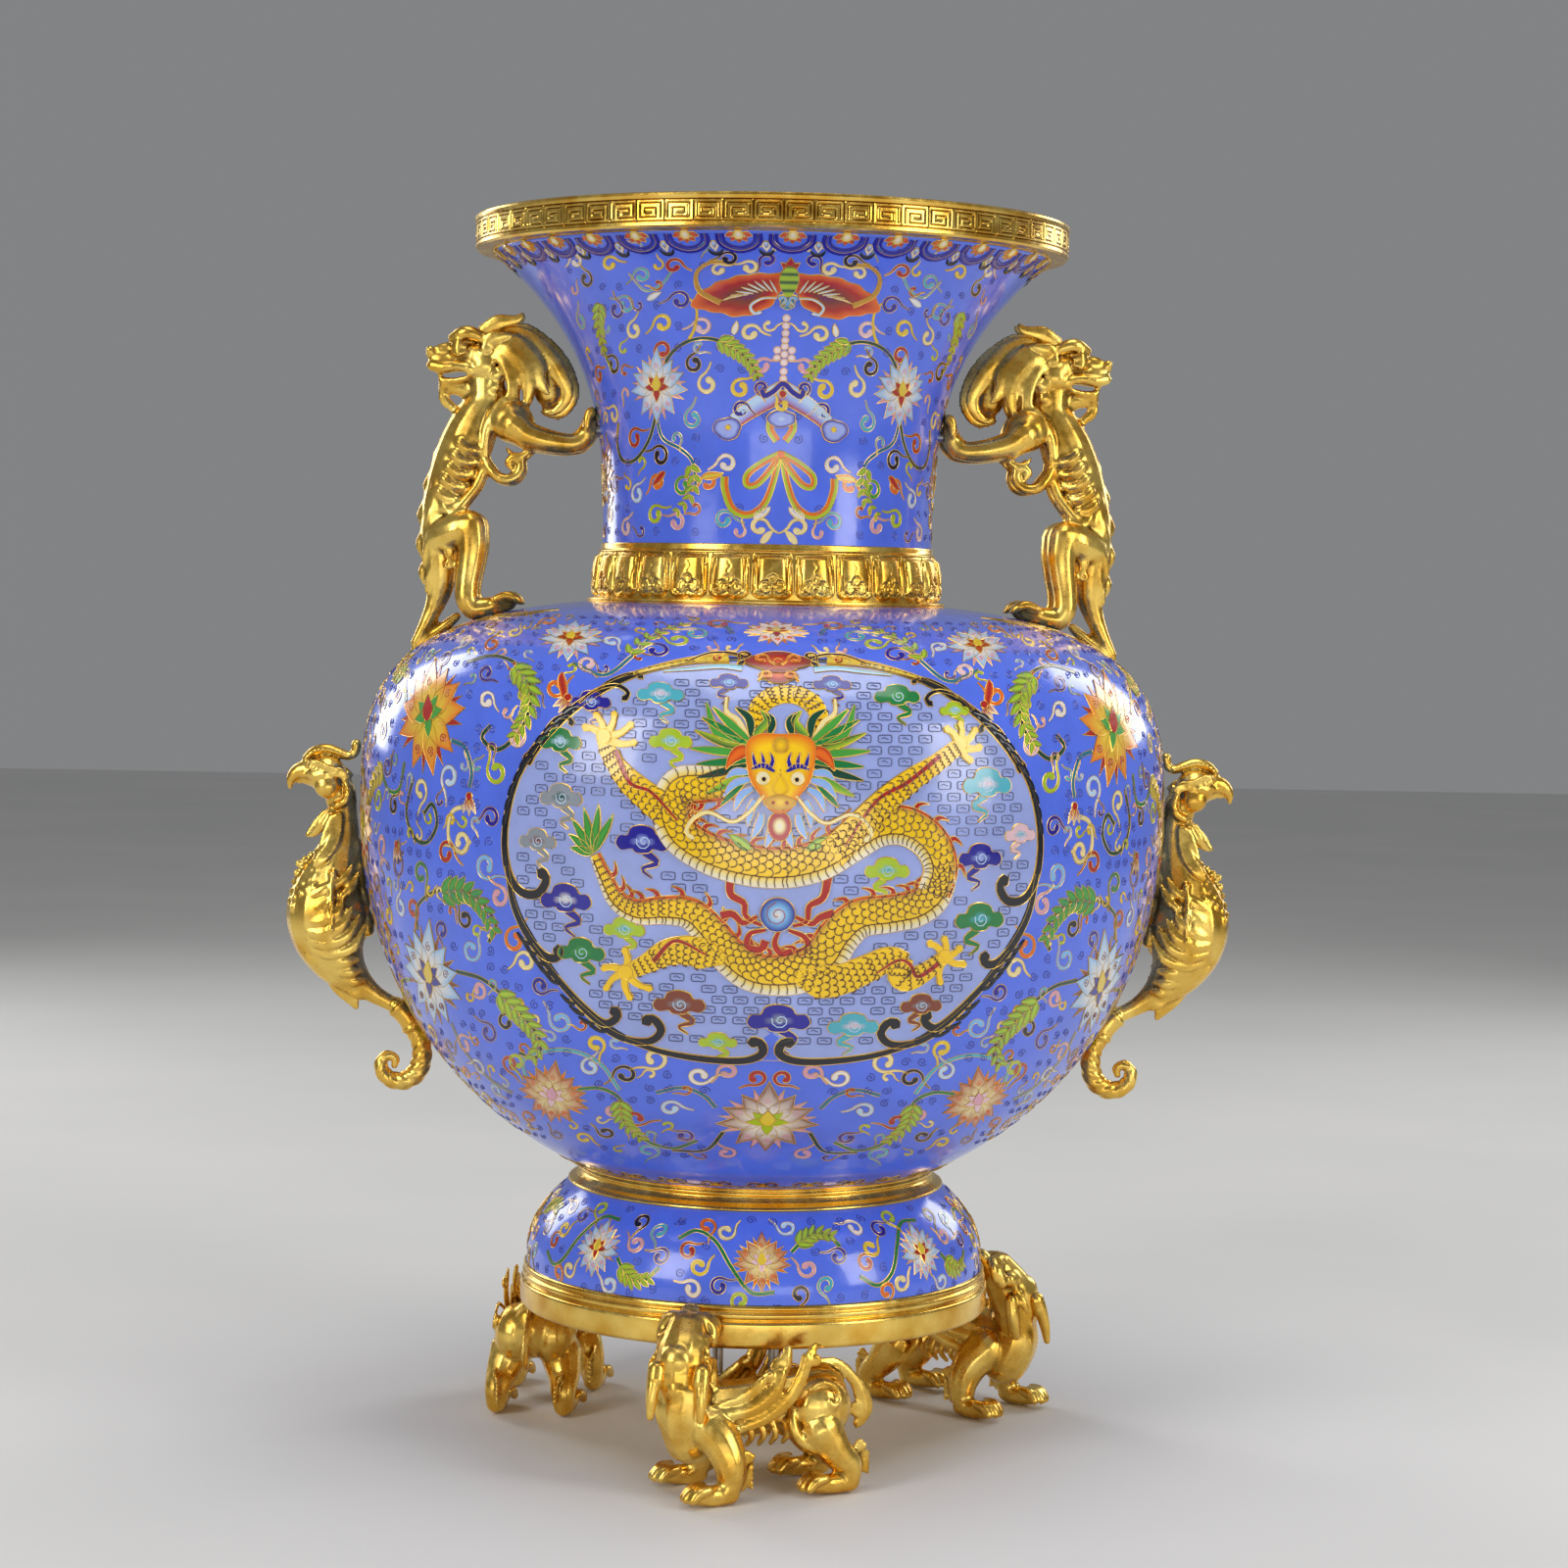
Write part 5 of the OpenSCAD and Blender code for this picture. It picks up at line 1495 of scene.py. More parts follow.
ferrule_skin = skin_of([rod([(180.5, 0, 211, 4.4), (179.4, 0, 210, 5.8), (178, 0, 208.6, 5.2),
                             (174.5, 0, 204.6, 5), (172.6, 0, 201.6, 5.2), (171.8, 0, 200.2, 5.8),
                             (171, 0, 198.8, 4.6)], spacing=0.6, sides=20)], 0.6, 1)
tail_scroll = rod([(171, 0, 199, 4.4), (167.6, 0, 192, 4.8), (167.2, 0, 184, 5), (170, 0, 177.2, 5),
                   (176, 0, 173.4, 4.7), (182.4, 0, 174, 4.2),
                   (186.6, 0, 178, 3.7), (187, 0, 183, 3.1), (183.6, 0, 186, 2.5), (180.2, 0, 184, 2.1),
                   (180.6, 0, 181, 1.7)],
                  sides=40, spacing=0.35, twist=lambda s, a: 1 + 0.05 * np.sin(4 * a + 1.15 * s))
scroll_skin = skin_of([tail_scroll], 0.55, 0)
ferrule_depth, scroll_depth = hollows(*ferrule_skin), hollows(*scroll_skin, 3)
for side, mirror in (("right", False), ("left", True)):
    casting("bird_cast_" + side, bird_skin, bird_depth, "bird_" + side, mirror)
    casting("bird_ferrule_cast_" + side, ferrule_skin, ferrule_depth, "bird_ferrule_" + side, mirror)
    casting("bird_scroll_cast_" + side, scroll_skin, scroll_depth, "bird_scroll_" + side, mirror)

# %% [markdown]
# ### Foot beasts
# Three winged beasts carry the vase. Each is modelled in its own frame, head along +x and its outer
# side along +y, then turned to its heading. Its head is modelled apart, in a frame where -y points
# away from the vase, because it is thrown back to bite the base ring.

# %% Foot beasts
FOOT_TRUNK = [(30, 0, 35, 14), (18, 0, 39, 14), (4, 0, 40, 13.6), (-14, 0, 42, 14), (-30, 0, 43, 16)]
lion = [rod(FOOT_TRUNK, 0.9), rod([(32, 0, 28, 13), (36, 2, 38, 12.5), (35, 3, 48, 11.5)])]
for side in (1, -1):
    lean = 1 if side > 0 else 0.95
    lion += [
        rod([(26, 9 * side, 34, 11), (22, 15 * side, 27, 9.6), (19.6, 19 * side, 18, 8),
             (20.4, 20.4 * side, 9, 6), (23.6, 20.6 * side, 5.6, 5.2)]),
        rod([(20, 20.6 * side, 5, 4.8), (28, 21 * side, 4.8, 5), (35, 21.4 * side, 5.4, 4.6)]),
        coil(12.6, 22.6 * side, 22.5, 3, 1.2, 180, 1.5, 1),
        rod([(14.4, 19 * side, 24, 1.6), (11.6, 20 * side, 15, 2), (13.6, 20.4 * side, 6.6, 1.4)], 0.7),
        rod([(-14, 12 * side, 40, 2.2), (-13, 15.4 * side, 33, 2.4), (-16.4, 16.6 * side, 26, 2.4),
             (-24, 17 * side, 20.6, 2)], 0.8),
        pellet(-29, 9.5 * side, 39.5, 15, 11.4, 15.4),
        rod([(-28, 13 * side, 30, 11), (-34, 16 * side, 20, 8.4), (-40.6, 17 * side, 13, 6.6),
             (-40.6, 17.4 * side, 6.4, 5.6)]),
        rod([(-41, 17.4 * side, 5.6, 5.2), (-32, 17.8 * side, 5, 4.8), (-24, 18 * side, 5.6, 4.6)]),
        rod([(-19.5, 18.6 * side, 50, 1.2), (-26, 20 * side, 53.4, 1.3), (-32.6, 20 * side, 50, 1.3),
             (-34, 20.8 * side, 44.6, 1.3), (-30.6, 21.4 * side, 42, 1.2),
             (-29, 21.4 * side, 44.6, 0.9)], 0.7),
        coil(-46.6, 16.8 * side, 22.6, 2.8, 1.1, 200, 1.4, 1),
        lock([(28, 12 * side, 42.5, 1.8), (15, 16 * side, 47, 2.6), (6, 16.6 * side, 52.4, 2.8),
              (0, 15.4 * side, 57.6, 2.2)], 3, 0.8),
        pellet(-0.4, 15.6 * side, 57.6, 2.9),
        lock([(25, 14.6 * side, 39.6, 2), (9, 17.6 * side, 42.4, 3.2), (-2, 18 * side, 50, 3.4),
              (-6.6, 17 * side, 58.6, 2.8)], 4, 0.85),
        lock([(22, 16.4 * side, 32.6, 1.6), (5, 18.4 * side, 37, 2.8), (-8.6, 18.6 * side, 46, 3.2),
              (-15.4, 18.6 * side, 56.6, 3.2), (-18.4, 17.6 * side, 66, 2.8)], 4, 0.85),
        lock([(-6, 15 * side, 54, 1.8), (-8.6, 15.4 * side, 62, 3.4), (-10.2, 14.4 * side, 69.6, 2.6)], 5,
             0.85),
        lock([(-2.6, 15 * side, 55, 1.4), (-3.4, 15 * side, 60.6, 2.6), (-4.6, 14.2 * side, 65, 1.8)], 4,
             0.85),
        coil(-22.6, 18 * side, 64, 2.8, 1.2, 0, 1.5, -1),
        lock([(-18.6, 17.4 * side, 63, 2), (-22.4, 16.4 * side, 69.4, 1.8),
              (-26.4, 15.4 * side, 70.4, 0.7)], 2),
    ]
    lion += [rod([(x, (18.6 + (k - 1.5) * 3.2 + 2.4) * side, 9, 2),
                  (x + 5, (18.6 + (k - 1.5) * 3.4 + 2.4) * side, 8, 2.5),
                  (x + 8.4, (18.6 + (k - 1.5) * 3.5 + 2.4) * side, 4.6, 2.2)])
             for x, k in ((32, 0), (34, 1), (34, 2), (32, 3))]
    lion += [rod([(x, (15.6 + (k - 1.5) * 3.2 + 2.4) * side, 9, 2),
                  (x + 5, (15.6 + (k - 1.5) * 3.4 + 2.4) * side, 8, 2.5),
                  (x + 8.4, (15.6 + (k - 1.5) * 3.5 + 2.4) * side, 4.6, 2.2)])
             for x, k in ((-27, 0), (-25, 1), (-25, 2), (-27, 3))]
    lion += [rod([(13 - 0.1 * k, 18 * side, 21 - 2.4 * k, 0.9), (9.4, 20.6 * side, 19 - 2.4 * k, 1),
                  (9.4, 22 * side, 18.6 - 2.4 * k, 0.6)]) for k in range(6)]
    lion += [rod([(-44, 15 * side, 20 - 2.4 * k, 1), (-50, 15 * side, 18.6 - 2.4 * k, 1.1),
                  (-52.4, 14.6 * side, 16.8 - 2.4 * k, 0.6)]) for k in range(5)]
    for k in range(4):
        x = 8 - 6 * k
        lion.append(rod([(x, 11.6 * side, 35, 1.4), (x - 1.6, 12.2 * side, 29, 1.9),
                         (x - 0.6, 8.4 * side, 24, 1.4)], 0.8))
lion += [lock([(-30, 0, 58.6, 2), (-41, 0, 57, 2.6), (-50, 0, 49, 2.8), (-54, 0, 42, 3.6),
               (-55.6, 0, 34, 3.8), (-52, 0, 27, 2.4)], 4, 0.9),
         coil(-51, 0, 34, 3.4, 1.6, 0, 1.4)]
lion_points, lion_faces = fuse(lion)
LION_HEADING = math.radians(202)
c, s = math.cos(LION_HEADING), math.sin(LION_HEADING)
lion_points = lion_points @ np.array([[c, s, 0], [-s, c, 0], [0, 0, 1]]) + (2, -122, 0)

out = (0, 1, 0)
head = [rod([(2, -140, 46, 10), (2, -140, 56, 12), (2, -136, 66, 12), (2, -130, 75, 10)]),
        pellet(1.6, -140.5, 60, 11.4, 10.4, 13),
        pellet(1.6, -143, 64, 9, 8.6, 9),
        rod([(1.6, -126, 76, 8.6), (1.2, -121.8, 82, 5.4)], 0.7, face=out),
        pellet(1.2, -128.6, 82, 3.6, 4, 3.4),
        lock([(2, -149, 58, 3.4), (3, -151.4, 52, 3.4), (3.4, -151, 46, 1)], 4, 0.9, face=out)]
for side in (-1, 1):
    head += [pellet(1.2 + 5 * side, -128, 81.4, 4, 4, 3.2),
             coil(1.2 + 5.4 * side, -131, 81.6, 2.2, 0.9, 90, 1.2, side, face=out),
             rod([(1.2 + 7.4 * side, -127, 81, 3), (1.6 + 11 * side, -126, 76.6, 3.4),
                  (1.6 + 12 * side, -128, 71, 3.2)]),
             rod([(1.6 + 8 * side, -124, 82, 2.2), (1.6 + 12.6 * side, -123, 78.6, 2.4),
                  (1.6 + 13.2 * side, -124, 73, 1.8)]),
             pellet(1.6 + 9 * side, -133, 72, 4.4, 4, 4), pellet(1.6 + 8.6 * side, -136.4, 74, 2),
             lock([(2 + 2 * side, -137, 73.6, 1.6), (2 + 6.6 * side, -137.6, 72.6, 2),
                   (2 + 11 * side, -136, 69, 1.6), (2 + 12.6 * side, -136, 64, 1)], 2, face=out),
             lock([(2 + 12.4 * side, -137, 66, 1.6), (2 + 14.6 * side, -139, 61, 2.2),
                   (2 + 14.8 * side, -142, 55, 1)], 3, face=(1, 0, 0)),
             rod([(2 + 13 * side, -133, 62, 3), (2 + 13.6 * side, -134, 52, 3.4),
                  (2 + 12 * side, -136, 44, 3)])]
    head += [coil(2 + (3.4 + 3.2 * k) * side, -139.4 + 0.6 * k, 73.4 - 1.1 * k, 1.6, 0.7, 60 * k, 1.2, side,
                  face=out) for k in range(3)]
for k in range(7):
    x = -9 + 3.4 * k
    head.append(lock([(x * 0.9 + 2, -145.6, 50, 1.4), (x + 3, -147, 42, 2), (x * 0.9 + 5, -146, 33, 2.1),
                      (x * 0.8 + 8, -143, 24, 0.9)], 3, 0.85, face=out))
head_points, head_faces = fuse(head)
c, s = math.cos(math.radians(-14.5)), math.sin(math.radians(-14.5))
HEAD_TURN = np.array([[c, s, 0], [-s, c, 0], [0, 0, 1]])
foot_points, foot_quads = skin_of([(lion_points, lion_faces), (head_points @ HEAD_TURN, head_faces)], 0.85, 2)
foot_points[:, 2] = np.maximum(foot_points[:, 2], 0.0)
foot_depth = hollows(foot_points, foot_quads)
horn_parts = []
for side in (-1, 1):
    x = 4 + 11 * side
    horn_parts.append(rod([(x, -147.6, 61, 4), (x + 0.3 * side, -150, 56.6, 3.6),
                           (x + 0.8 * side, -152.6, 48, 2.8), (x + side, -154, 39.6, 1.7)]))
    horn_parts += [rod([(x - 0.2 * side, -148 - 0.7 * k, 60.6 - 2 * k, 4.4),
                        (x - 0.2 * side, -148.1 - 0.7 * k, 60.2 - 2 * k, 4.4)]) for k in range(3)]
foot_horn_points, foot_horn_quads = skin_of(horn_parts, 0.6, 1)
foot_horn_points = foot_horn_points @ HEAD_TURN
foot_horn_depth = hollows(foot_horn_points, foot_horn_quads, 4)
for side, turn in (("front", -2), ("right", 118), ("left", 238)):
    casting("foot_beast_cast_" + side, (foot_points, foot_quads), foot_depth, "foot_beast_" + side, turn=turn)
    casting("foot_horns_cast_" + side, (foot_horn_points, foot_horn_quads), foot_horn_depth,
            "foot_horns_" + side, turn=turn)

# %% [markdown]
# ### The belly
# A medallion on each face holds a dragon among clouds, chasing a pearl. Its frame of black feathers
# is the same left and right, but the dragon is not. Scrollwork with lotuses covers the rest.

# %% Medallion ground and frame
def cloud(x, y, size, ink, heart, tail=1, turn=0.0):
    """A small cloud: a lobed head with a curl in it, and a tail that blows to one side."""
    lobes = [(-11, -1), (-9.6, 2.2), (-6.4, 2.4), (-5, 5.2), (-1.6, 6.4), (1.6, 6.2), (4.6, 5), (6, 2.6),
             (9.4, 2.4), (11, -1), (8.6, -3.4),
             (4.4, -2.8), (2.6, -4.4), (-2.6, -4.4), (-4.4, -2.8), (-8.6, -3.4)]
    head = plate(smooth_path(lobes, 48, True)[::-1], inks(heart, ink, ink), 3, (0, 0.4))
    curl = whorl(0.6, 0, 3.2, 160, ink="pale")
    curl["lift"] = np.where(curl["lift"] > 0, curl["lift"] + 0.48, 0.3)
    path = smooth_path([(1 * tail, -4), (6 * tail, -8), (0, -10.5), (4 * tail, -14)], 14)
    wisp = strip(path, np.linspace(1.7, 0.4, 14), inks(ink, ink), 2)
    return moved(join(head, curl, wisp), x, y, turn, grow=size)


def feathers(points, count, length, lean, ink="black"):
    """Barbs standing off a curve on its left, each leaning by an angle from the curve's own way."""
    path = smooth_path(points, count)
    along = np.gradient(path, axis=0)
    turns = np.degrees(np.arctan2(along[:, 1], along[:, 0])) + lean
    barb = wire(smooth_path(np.array([(0, 0), (0.45, 0.10), (1, -0.02)]) * length, 6), 4,
                np.array([0.9, 1.2, 1.1, 0.8, 0.5, 0.2]), ink=ink)
    return join([moved(barb, *p, t) for p, t in zip(path, turns)])


OVAL = [(0, 92), (-38, 89), (-72, 76), (-98, 57), (-118, 37), (-129, 14), (-129, -10), (-124, -30),
        (-114, -46), (-94, -71),
        (-67, -92), (-38, -101), (-8, -102)]
half_oval = smooth_path(OVAL, 66)
oval = np.vstack([half_oval, half_oval[::-1] * (-1, 1)])[:-1]
medallion_ground = plate(oval, np.repeat(inks("haze"), 20, 0), 0, (0, -6))


def frame_half():
    """The left half of the medallion's frame."""
    swags = [
        [(-38, 89.5), (-64, 80), (-90, 64), (-108, 48), (-120, 34)],
        [(-112, 45), (-124, 27), (-130, 6), (-129, -12), (-122, -23), (-112, -24), (-107, -17), (-112, -13)],
        [(-129, -12), (-125, -30), (-117, -44), (-108, -53), (-101, -53), (-101, -47)],
        [(-115, -48), (-102, -63), (-86, -79), (-77, -85), (-71, -81), (-74, -76)],
        [(-94, -73), (-78, -87), (-66, -93), (-55, -93), (-50, -87), (-54, -81), (-59, -84)],
        [(-67, -93), (-48, -99), (-28, -102), (-12, -102), (-4, -98), (-5, -92), (-11, -92)],
    ]
    parts = [wire(half_oval[:-1], 2, 1.25, ink="black")]
    parts += [vine(points, "black", 2.3, 1.2, 3, 3.0) for points in swags]
    parts += [vine([(-92, 63), (-84, 70), (-74, 73), (-68, 69), (-71, 65)], "black", 1.2, 0.5, 3, 1.7),
              vine([(-84, 69), (-76, 76), (-66, 80), (-61, 77)], "black", 1.1, 0.5, 3, 1.6),
              vine([(-112, 46), (-104, 55), (-97, 56), (-95, 52)], "black", 1.2, 0.5, 3, 1.8)]
    parts += [feathers([(-100, 58), (-112, 46), (-121, 33)], 6, 9, 163),
              feathers([(-122, 32), (-128, 20), (-131, 6)], 5, 10, 166),
              feathers([(-116, -48), (-108, -58), (-100, -66)], 5, 9, -163),
              feathers([(-92, -76), (-84, -84), (-76, -89)], 4, 9, -163)]
    parts += [vine([(-40, 89), (-30, 95), (-20, 95), (-14, 91), (-18, 87)], "black", 1.0, 0.6, 4, 1.5),
              strip(smooth_path([(-66, 80), (-50, 86), (-36, 90), (-22, 91.5)], 14),
                    np.linspace(1, 3.2, 14), inks("ochre", "yellow", "ochre"), 3),
              strip(smooth_path([(-52, 82), (-38, 84), (-26, 86), (-16, 85)], 12), np.linspace(0.6, 2, 12),
                    inks("turquoise", "pale"), 2),
              hook(-27, 91, 2.2, 90, 260, "red", 0.6, 5), hook(-14.5, 93.5, 3.2, 200, -240, "black", 0.8, 5)]
    return join(parts)


def crest_ruyi():
    """The red cloud head at the top of the frame."""
    a = np.linspace(0, 2 * np.pi, 70, endpoint=False)
    r = 0.82 + 0.18 * np.abs(np.cos(2 * a))
    body = plate(np.stack([15 * r * np.cos(a), 89.5 + 7.5 * r * np.sin(a)], 1),
                 inks("orange", "red", "brown"), 5, (0, 89.5))
    drop = plate(np.stack([9 * r * np.cos(a), 80.5 + 4.6 * r * np.sin(a)], 1),
                 inks("orange", "red", "brown"), 4, (0, 80.5))
    curls = [both(hook(-7.5, 91, 3.4, 0, 260, "orange", 0.7, 7)),
             both(hook(-5, 80.5, 2.4, 180, -260, "orange", 0.6, 6)), bead(0, 89, 2, "orange", "red", layer=7)]
    return join(body, drop, curls)


def sky_cells(keep_out, room):
    """Rows of small cloud-shaped wire cells wherever the medallion's ground is left open."""
    a = np.linspace(0, 2 * np.pi, 16, endpoint=False)
    r = 1 - 0.15 * np.cos(4 * a)
    outline = np.stack([3.5 * r * np.cos(a), 1.9 * r * np.sin(a)], 1)
    dash = np.array([(-1.6, 0.1), (-0.5, 0.6), (0.6, 0.1), (1.6, -0.3)])
    cell = join(wire(outline, 1, 0.22, True, "slate"), wire(dash, 1, 0.18, ink="slate"))
    rows = [(9.6 * (i + 0.5 * (j % 2)), -96 + 5.2 * j) for j in range(36) for i in range(-14, 15)]
    spots = np.array(rows)
    inside = (spots[:, 0] / 123) ** 2 + ((spots[:, 1] + 6) / 91) ** 2 < 1
    open_ground = np.all(np.linalg.norm(spots[:, None] - keep_out, axis=2) > room, axis=1)
    return join([moved(cell, x, y) for x, y in spots[inside & open_ground]])


# %% [markdown]
# The dragon's body is one long strip with a cream belly, seen first from one side and then, after a
# twist, from the other. Scales are arcs of wire set across it in rows, and fins stand on its back.

# %% Dragon
def scaled_body(points, half, back, fins=True, layer=4):
    """A scaled body with fins, or a limb without. back is 1 if the back lies to the left, else -1."""
    path_count = int(np.linalg.norm(np.diff(np.array(points, float), axis=0), axis=1).sum() / 1.6)
    path = smooth_path(points, path_count)
    half = np.interp(np.linspace(0, 1, path_count), np.linspace(0, 1, len(half)), half)
    along = np.gradient(path, axis=0)
    along /= np.linalg.norm(along, axis=1, keepdims=True)
    left = np.stack([-along[:, 1], along[:, 0]], 1) * back
    colours = inks("ochre", "gold", "gold", "gold", "gold", "cream",
                   "white") if fins else np.repeat(inks("gold"), 7, 0)
    parts = [strip(path, half, colours if back > 0 else colours[::-1], layer)]
    if fins:
        parts.append(wire((path - left * half[:, None] * 0.42)[1:-1], layer + 1, 0.24, ink="umber"))
    s = path_length(path)
    for k, at in enumerate(np.arange(3.2, s[-1] - 2.5, 3.2)):
        i = int(np.searchsorted(s, at))
        p, t, n, h = path[i], along[i], left[i], half[i]
        rib = [p - n * h * 0.42, p - n * h * 0.68 - t * 0.5, p - n * h * 0.94]
        if fins:
            parts.append(wire(np.array(rib), layer + 1, 0.22, ink="umber"))
        places = (-0.2, 0.25, 0.7) if k % 2 else (0.02, 0.48, 0.88)
        if not fins:
            places += (-0.66,) if k % 2 else (-0.45,)
        for share in places:
            c = p + n * h * share
            w = h * 0.24
            arc = [c + n * w, c + t * w * 0.9 + n * w * 0.7, c + t * w * 1.25,
                   c + t * w * 0.9 - n * w * 0.7, c - n * w]
            parts.append(wire(np.array(arc), layer + 1, 0.24, ink="umber"))
    if fins:
        edge = path + left * (half + 0.5)[:, None]
        parts.append(strip(edge, np.full(path_count, 0.9), inks("red", "orange"), layer - 1))
        for at in np.arange(5, s[-1] - 4, 8.5):
            i = int(np.searchsorted(s, at))
            root, t, n = edge[i], along[i], left[i]
            flame = [root, root + n * 2.2 - t * 0.4, root + n * 4.0 + t * 2.2, root + n * 4.6 + t * 5]
            parts.append(strip(smooth_path(flame, 7), np.linspace(1.5, 0.2, 7), inks("red", "red"),
                               layer - 1))
    return join(parts)


def talons(x, y, tips, ink="gold"):
    """A paw: a round palm with a claw to each tip."""
    parts = [bead(x, y, 3.6, ink, ink, layer=7)]
    for a, b in tips:
        middle = ((x + a) / 2 + (b - y) * 0.12, (y + b) / 2 - (a - x) * 0.12)
        parts.append(vine([(x, y), middle, (a, b)], ink, 1.0, 2.1, 6, 1.7))
    return join(parts)


def dragon_head():
    """The dragon's face from the front, with its mane, whiskers and beard."""
    parts = []
    for side in (-1, 1):
        mane = [((-12, 50), (-6, 57), (-9, 62)), ((-13, 50), (-14, 58), (-20, 63)),
                ((-14, 48), (-22, 55), (-30, 63)), ((-15, 46), (-24, 52), (-35, 58)),
                ((-15, 44), (-26, 47), (-38, 52)), ((-15, 42), (-27, 43), (-40, 44)),
                ((-15, 39), (-26, 38), (-37, 37)), ((-15, 37), (-25, 34), (-37, 31)),
                ((-15, 35), (-23, 29), (-33, 24)), ((-14, 33), (-20, 26), (-26, 19)),
                ((-5, 51), (-4, 57), (-7, 61)), ((-15, 47), (-28, 51), (-33, 65))]
        for k, rows in enumerate(mane):
            rows = [((p[0] * -side) + 1 if side > 0 else p[0] + 1, p[1]) for p in rows]
            ink = ("green", "forest", "leaf")[k % 3]
            parts.append(strip(smooth_path(rows, 9), 1.75 * np.sin(np.linspace(0.5, 3.0, 9)) + 0.15,
                               inks(ink, "lime" if k % 4 == 0 else ink), 6))
        def sided(rows):
            """The points on this side of the head: x' = 1 + side x."""
            return [(1 + side * x, y) for x, y in rows]

        for rows in ([(12, 27), (17, 24), (20, 17)], [(13, 31), (20, 29), (25, 23)],
                     [(11, 22), (13, 17), (14, 10)], [(8, 16), (9, 11), (12, 5)], [(3, 12), (4, 6), (6, 1)],
                     [(14, 34), (20, 34), (24, 31)]):
            parts.append(strip(smooth_path(sided(rows), 8), 1.7 * np.sin(np.linspace(0.6, 3.0, 8)) + 0.15,
                               inks("sky", "lavender"), 7))
        parts.append(vine(sided([(7, 24), (14, 16), (21, 12), (31, 16), (38, 13), (41, 7), (37, 4)]),
                          "cream", 1.0, 0.6, 9, 1.4))
        parts.append(strip(smooth_path(sided([(13, 42), (17, 43), (21, 40), (24, 35)]), 9),
                           [0.6, 2.2, 3, 3.1, 2.8, 2.2, 1.6, 0.9, 0.3], inks("red", "orange", "red"), 8))
        parts.append(vine(sided([(15, 49), (19, 57), (24, 61), (24, 68)]), "cream", 0.7, 1.6, 5))
        parts.append(leaf(1 + side * 12, 0, 12, 2.4, 90 - side * 70, "green", "lime", 0.2 * side, 6))
    a = np.linspace(0, 2 * np.pi, 60, endpoint=False)
    outline = smooth_path([(1, 51), (-8, 51), (-14, 47), (-14, 38), (-12, 30), (-7, 23), (-4, 18), (1, 16),
                           (6, 18), (9, 23), (14, 30), (16, 38), (16, 47), (10, 51)], 60, True)
    parts.append(plate(outline, inks("gold", "gold", "gold", "orange"), 9, (1, 35)))
    parts.append(plate(np.stack([1 + 5.2 * np.cos(a), 10.5 + 6.6 * np.sin(a)], 1),
                       inks("white", "cream", "red", "red"), 8, (1, 10.5)))
    parts.append(bead(1, 46, 3.6, "gold", "ochre", layer=11))
    parts.append(plate(np.stack([1 + 6.4 * np.cos(a) * (1 + 0.14 * np.cos(2 * a)), 21 + 3.6 * np.sin(a)],
                                1), inks("gold", "ochre"), 11, (1, 21)))
    for side in (-1, 1):
        x = 1 + side * 7.6
        parts += [bead(x, 31.5, 3.1, "white", "cream", layer=11),
                  bead(x - side * 0.4, 31.0, 1.2, "black", "black", layer=13),
                  bead(1 + side * 3, 20.8, 1.0, "brown", "red", layer=13),
                  strip(smooth_path([(x - side * 5, 34.5), (x, 37), (x + side * 5, 35.5)], 8),
                        1.1 * np.sin(np.linspace(0.4, 2.9, 8)) + 0.2, inks("cobalt", "cobalt"), 12)]
        parts += [strip(smooth_path([(x + d, 36), (x + d * 1.3, 39.5), (x + d * 1.2 + side, 43)], 6),
                        [0.9, 1.1, 1.0, 0.8, 0.5, 0.2], inks("cobalt", "cobalt"), 12) for d in (-3.2, 0, 3.2)]
    parts.append(wire(smooth_path([(1, 34), (-2.4, 27), (1, 24.6), (4.4, 27), (1, 34)], 20), 12, 0.2))
    return join(parts)


def pearl():
    """The flaming pearl below the dragon's chin."""
    parts = [bead(1, -29, 7.8, "white", "sky", "cobalt", layer=5)]
    swirl = whorl(1, -29, 5.6, 100, ink="red")
    swirl["lift"] = np.where(swirl["lift"] > 0, swirl["lift"] + 0.8, 0.4)
    parts.append(swirl)
    flames = [[(-6, -34), (-13, -30), (-14, -24), (-20, -20), (-20, -12)],
              [(8, -34), (14, -32), (15, -25), (21, -21), (23, -12)],
              [(-4, -36), (-11, -38), (-12, -44), (-6, -45), (-4, -41)],
              [(2, -36), (0, -42), (3, -47), (8, -46)], [(6, -36), (13, -39), (15, -44), (10, -47)],
              [(-8, -30), (-14, -33), (-19, -29), (-24, -30)], [(9, -30), (16, -33), (20, -30), (26, -28)]]
    parts += [vine(points, "red", 2.0, 0.8, 4) for points in flames]
    return join(parts)


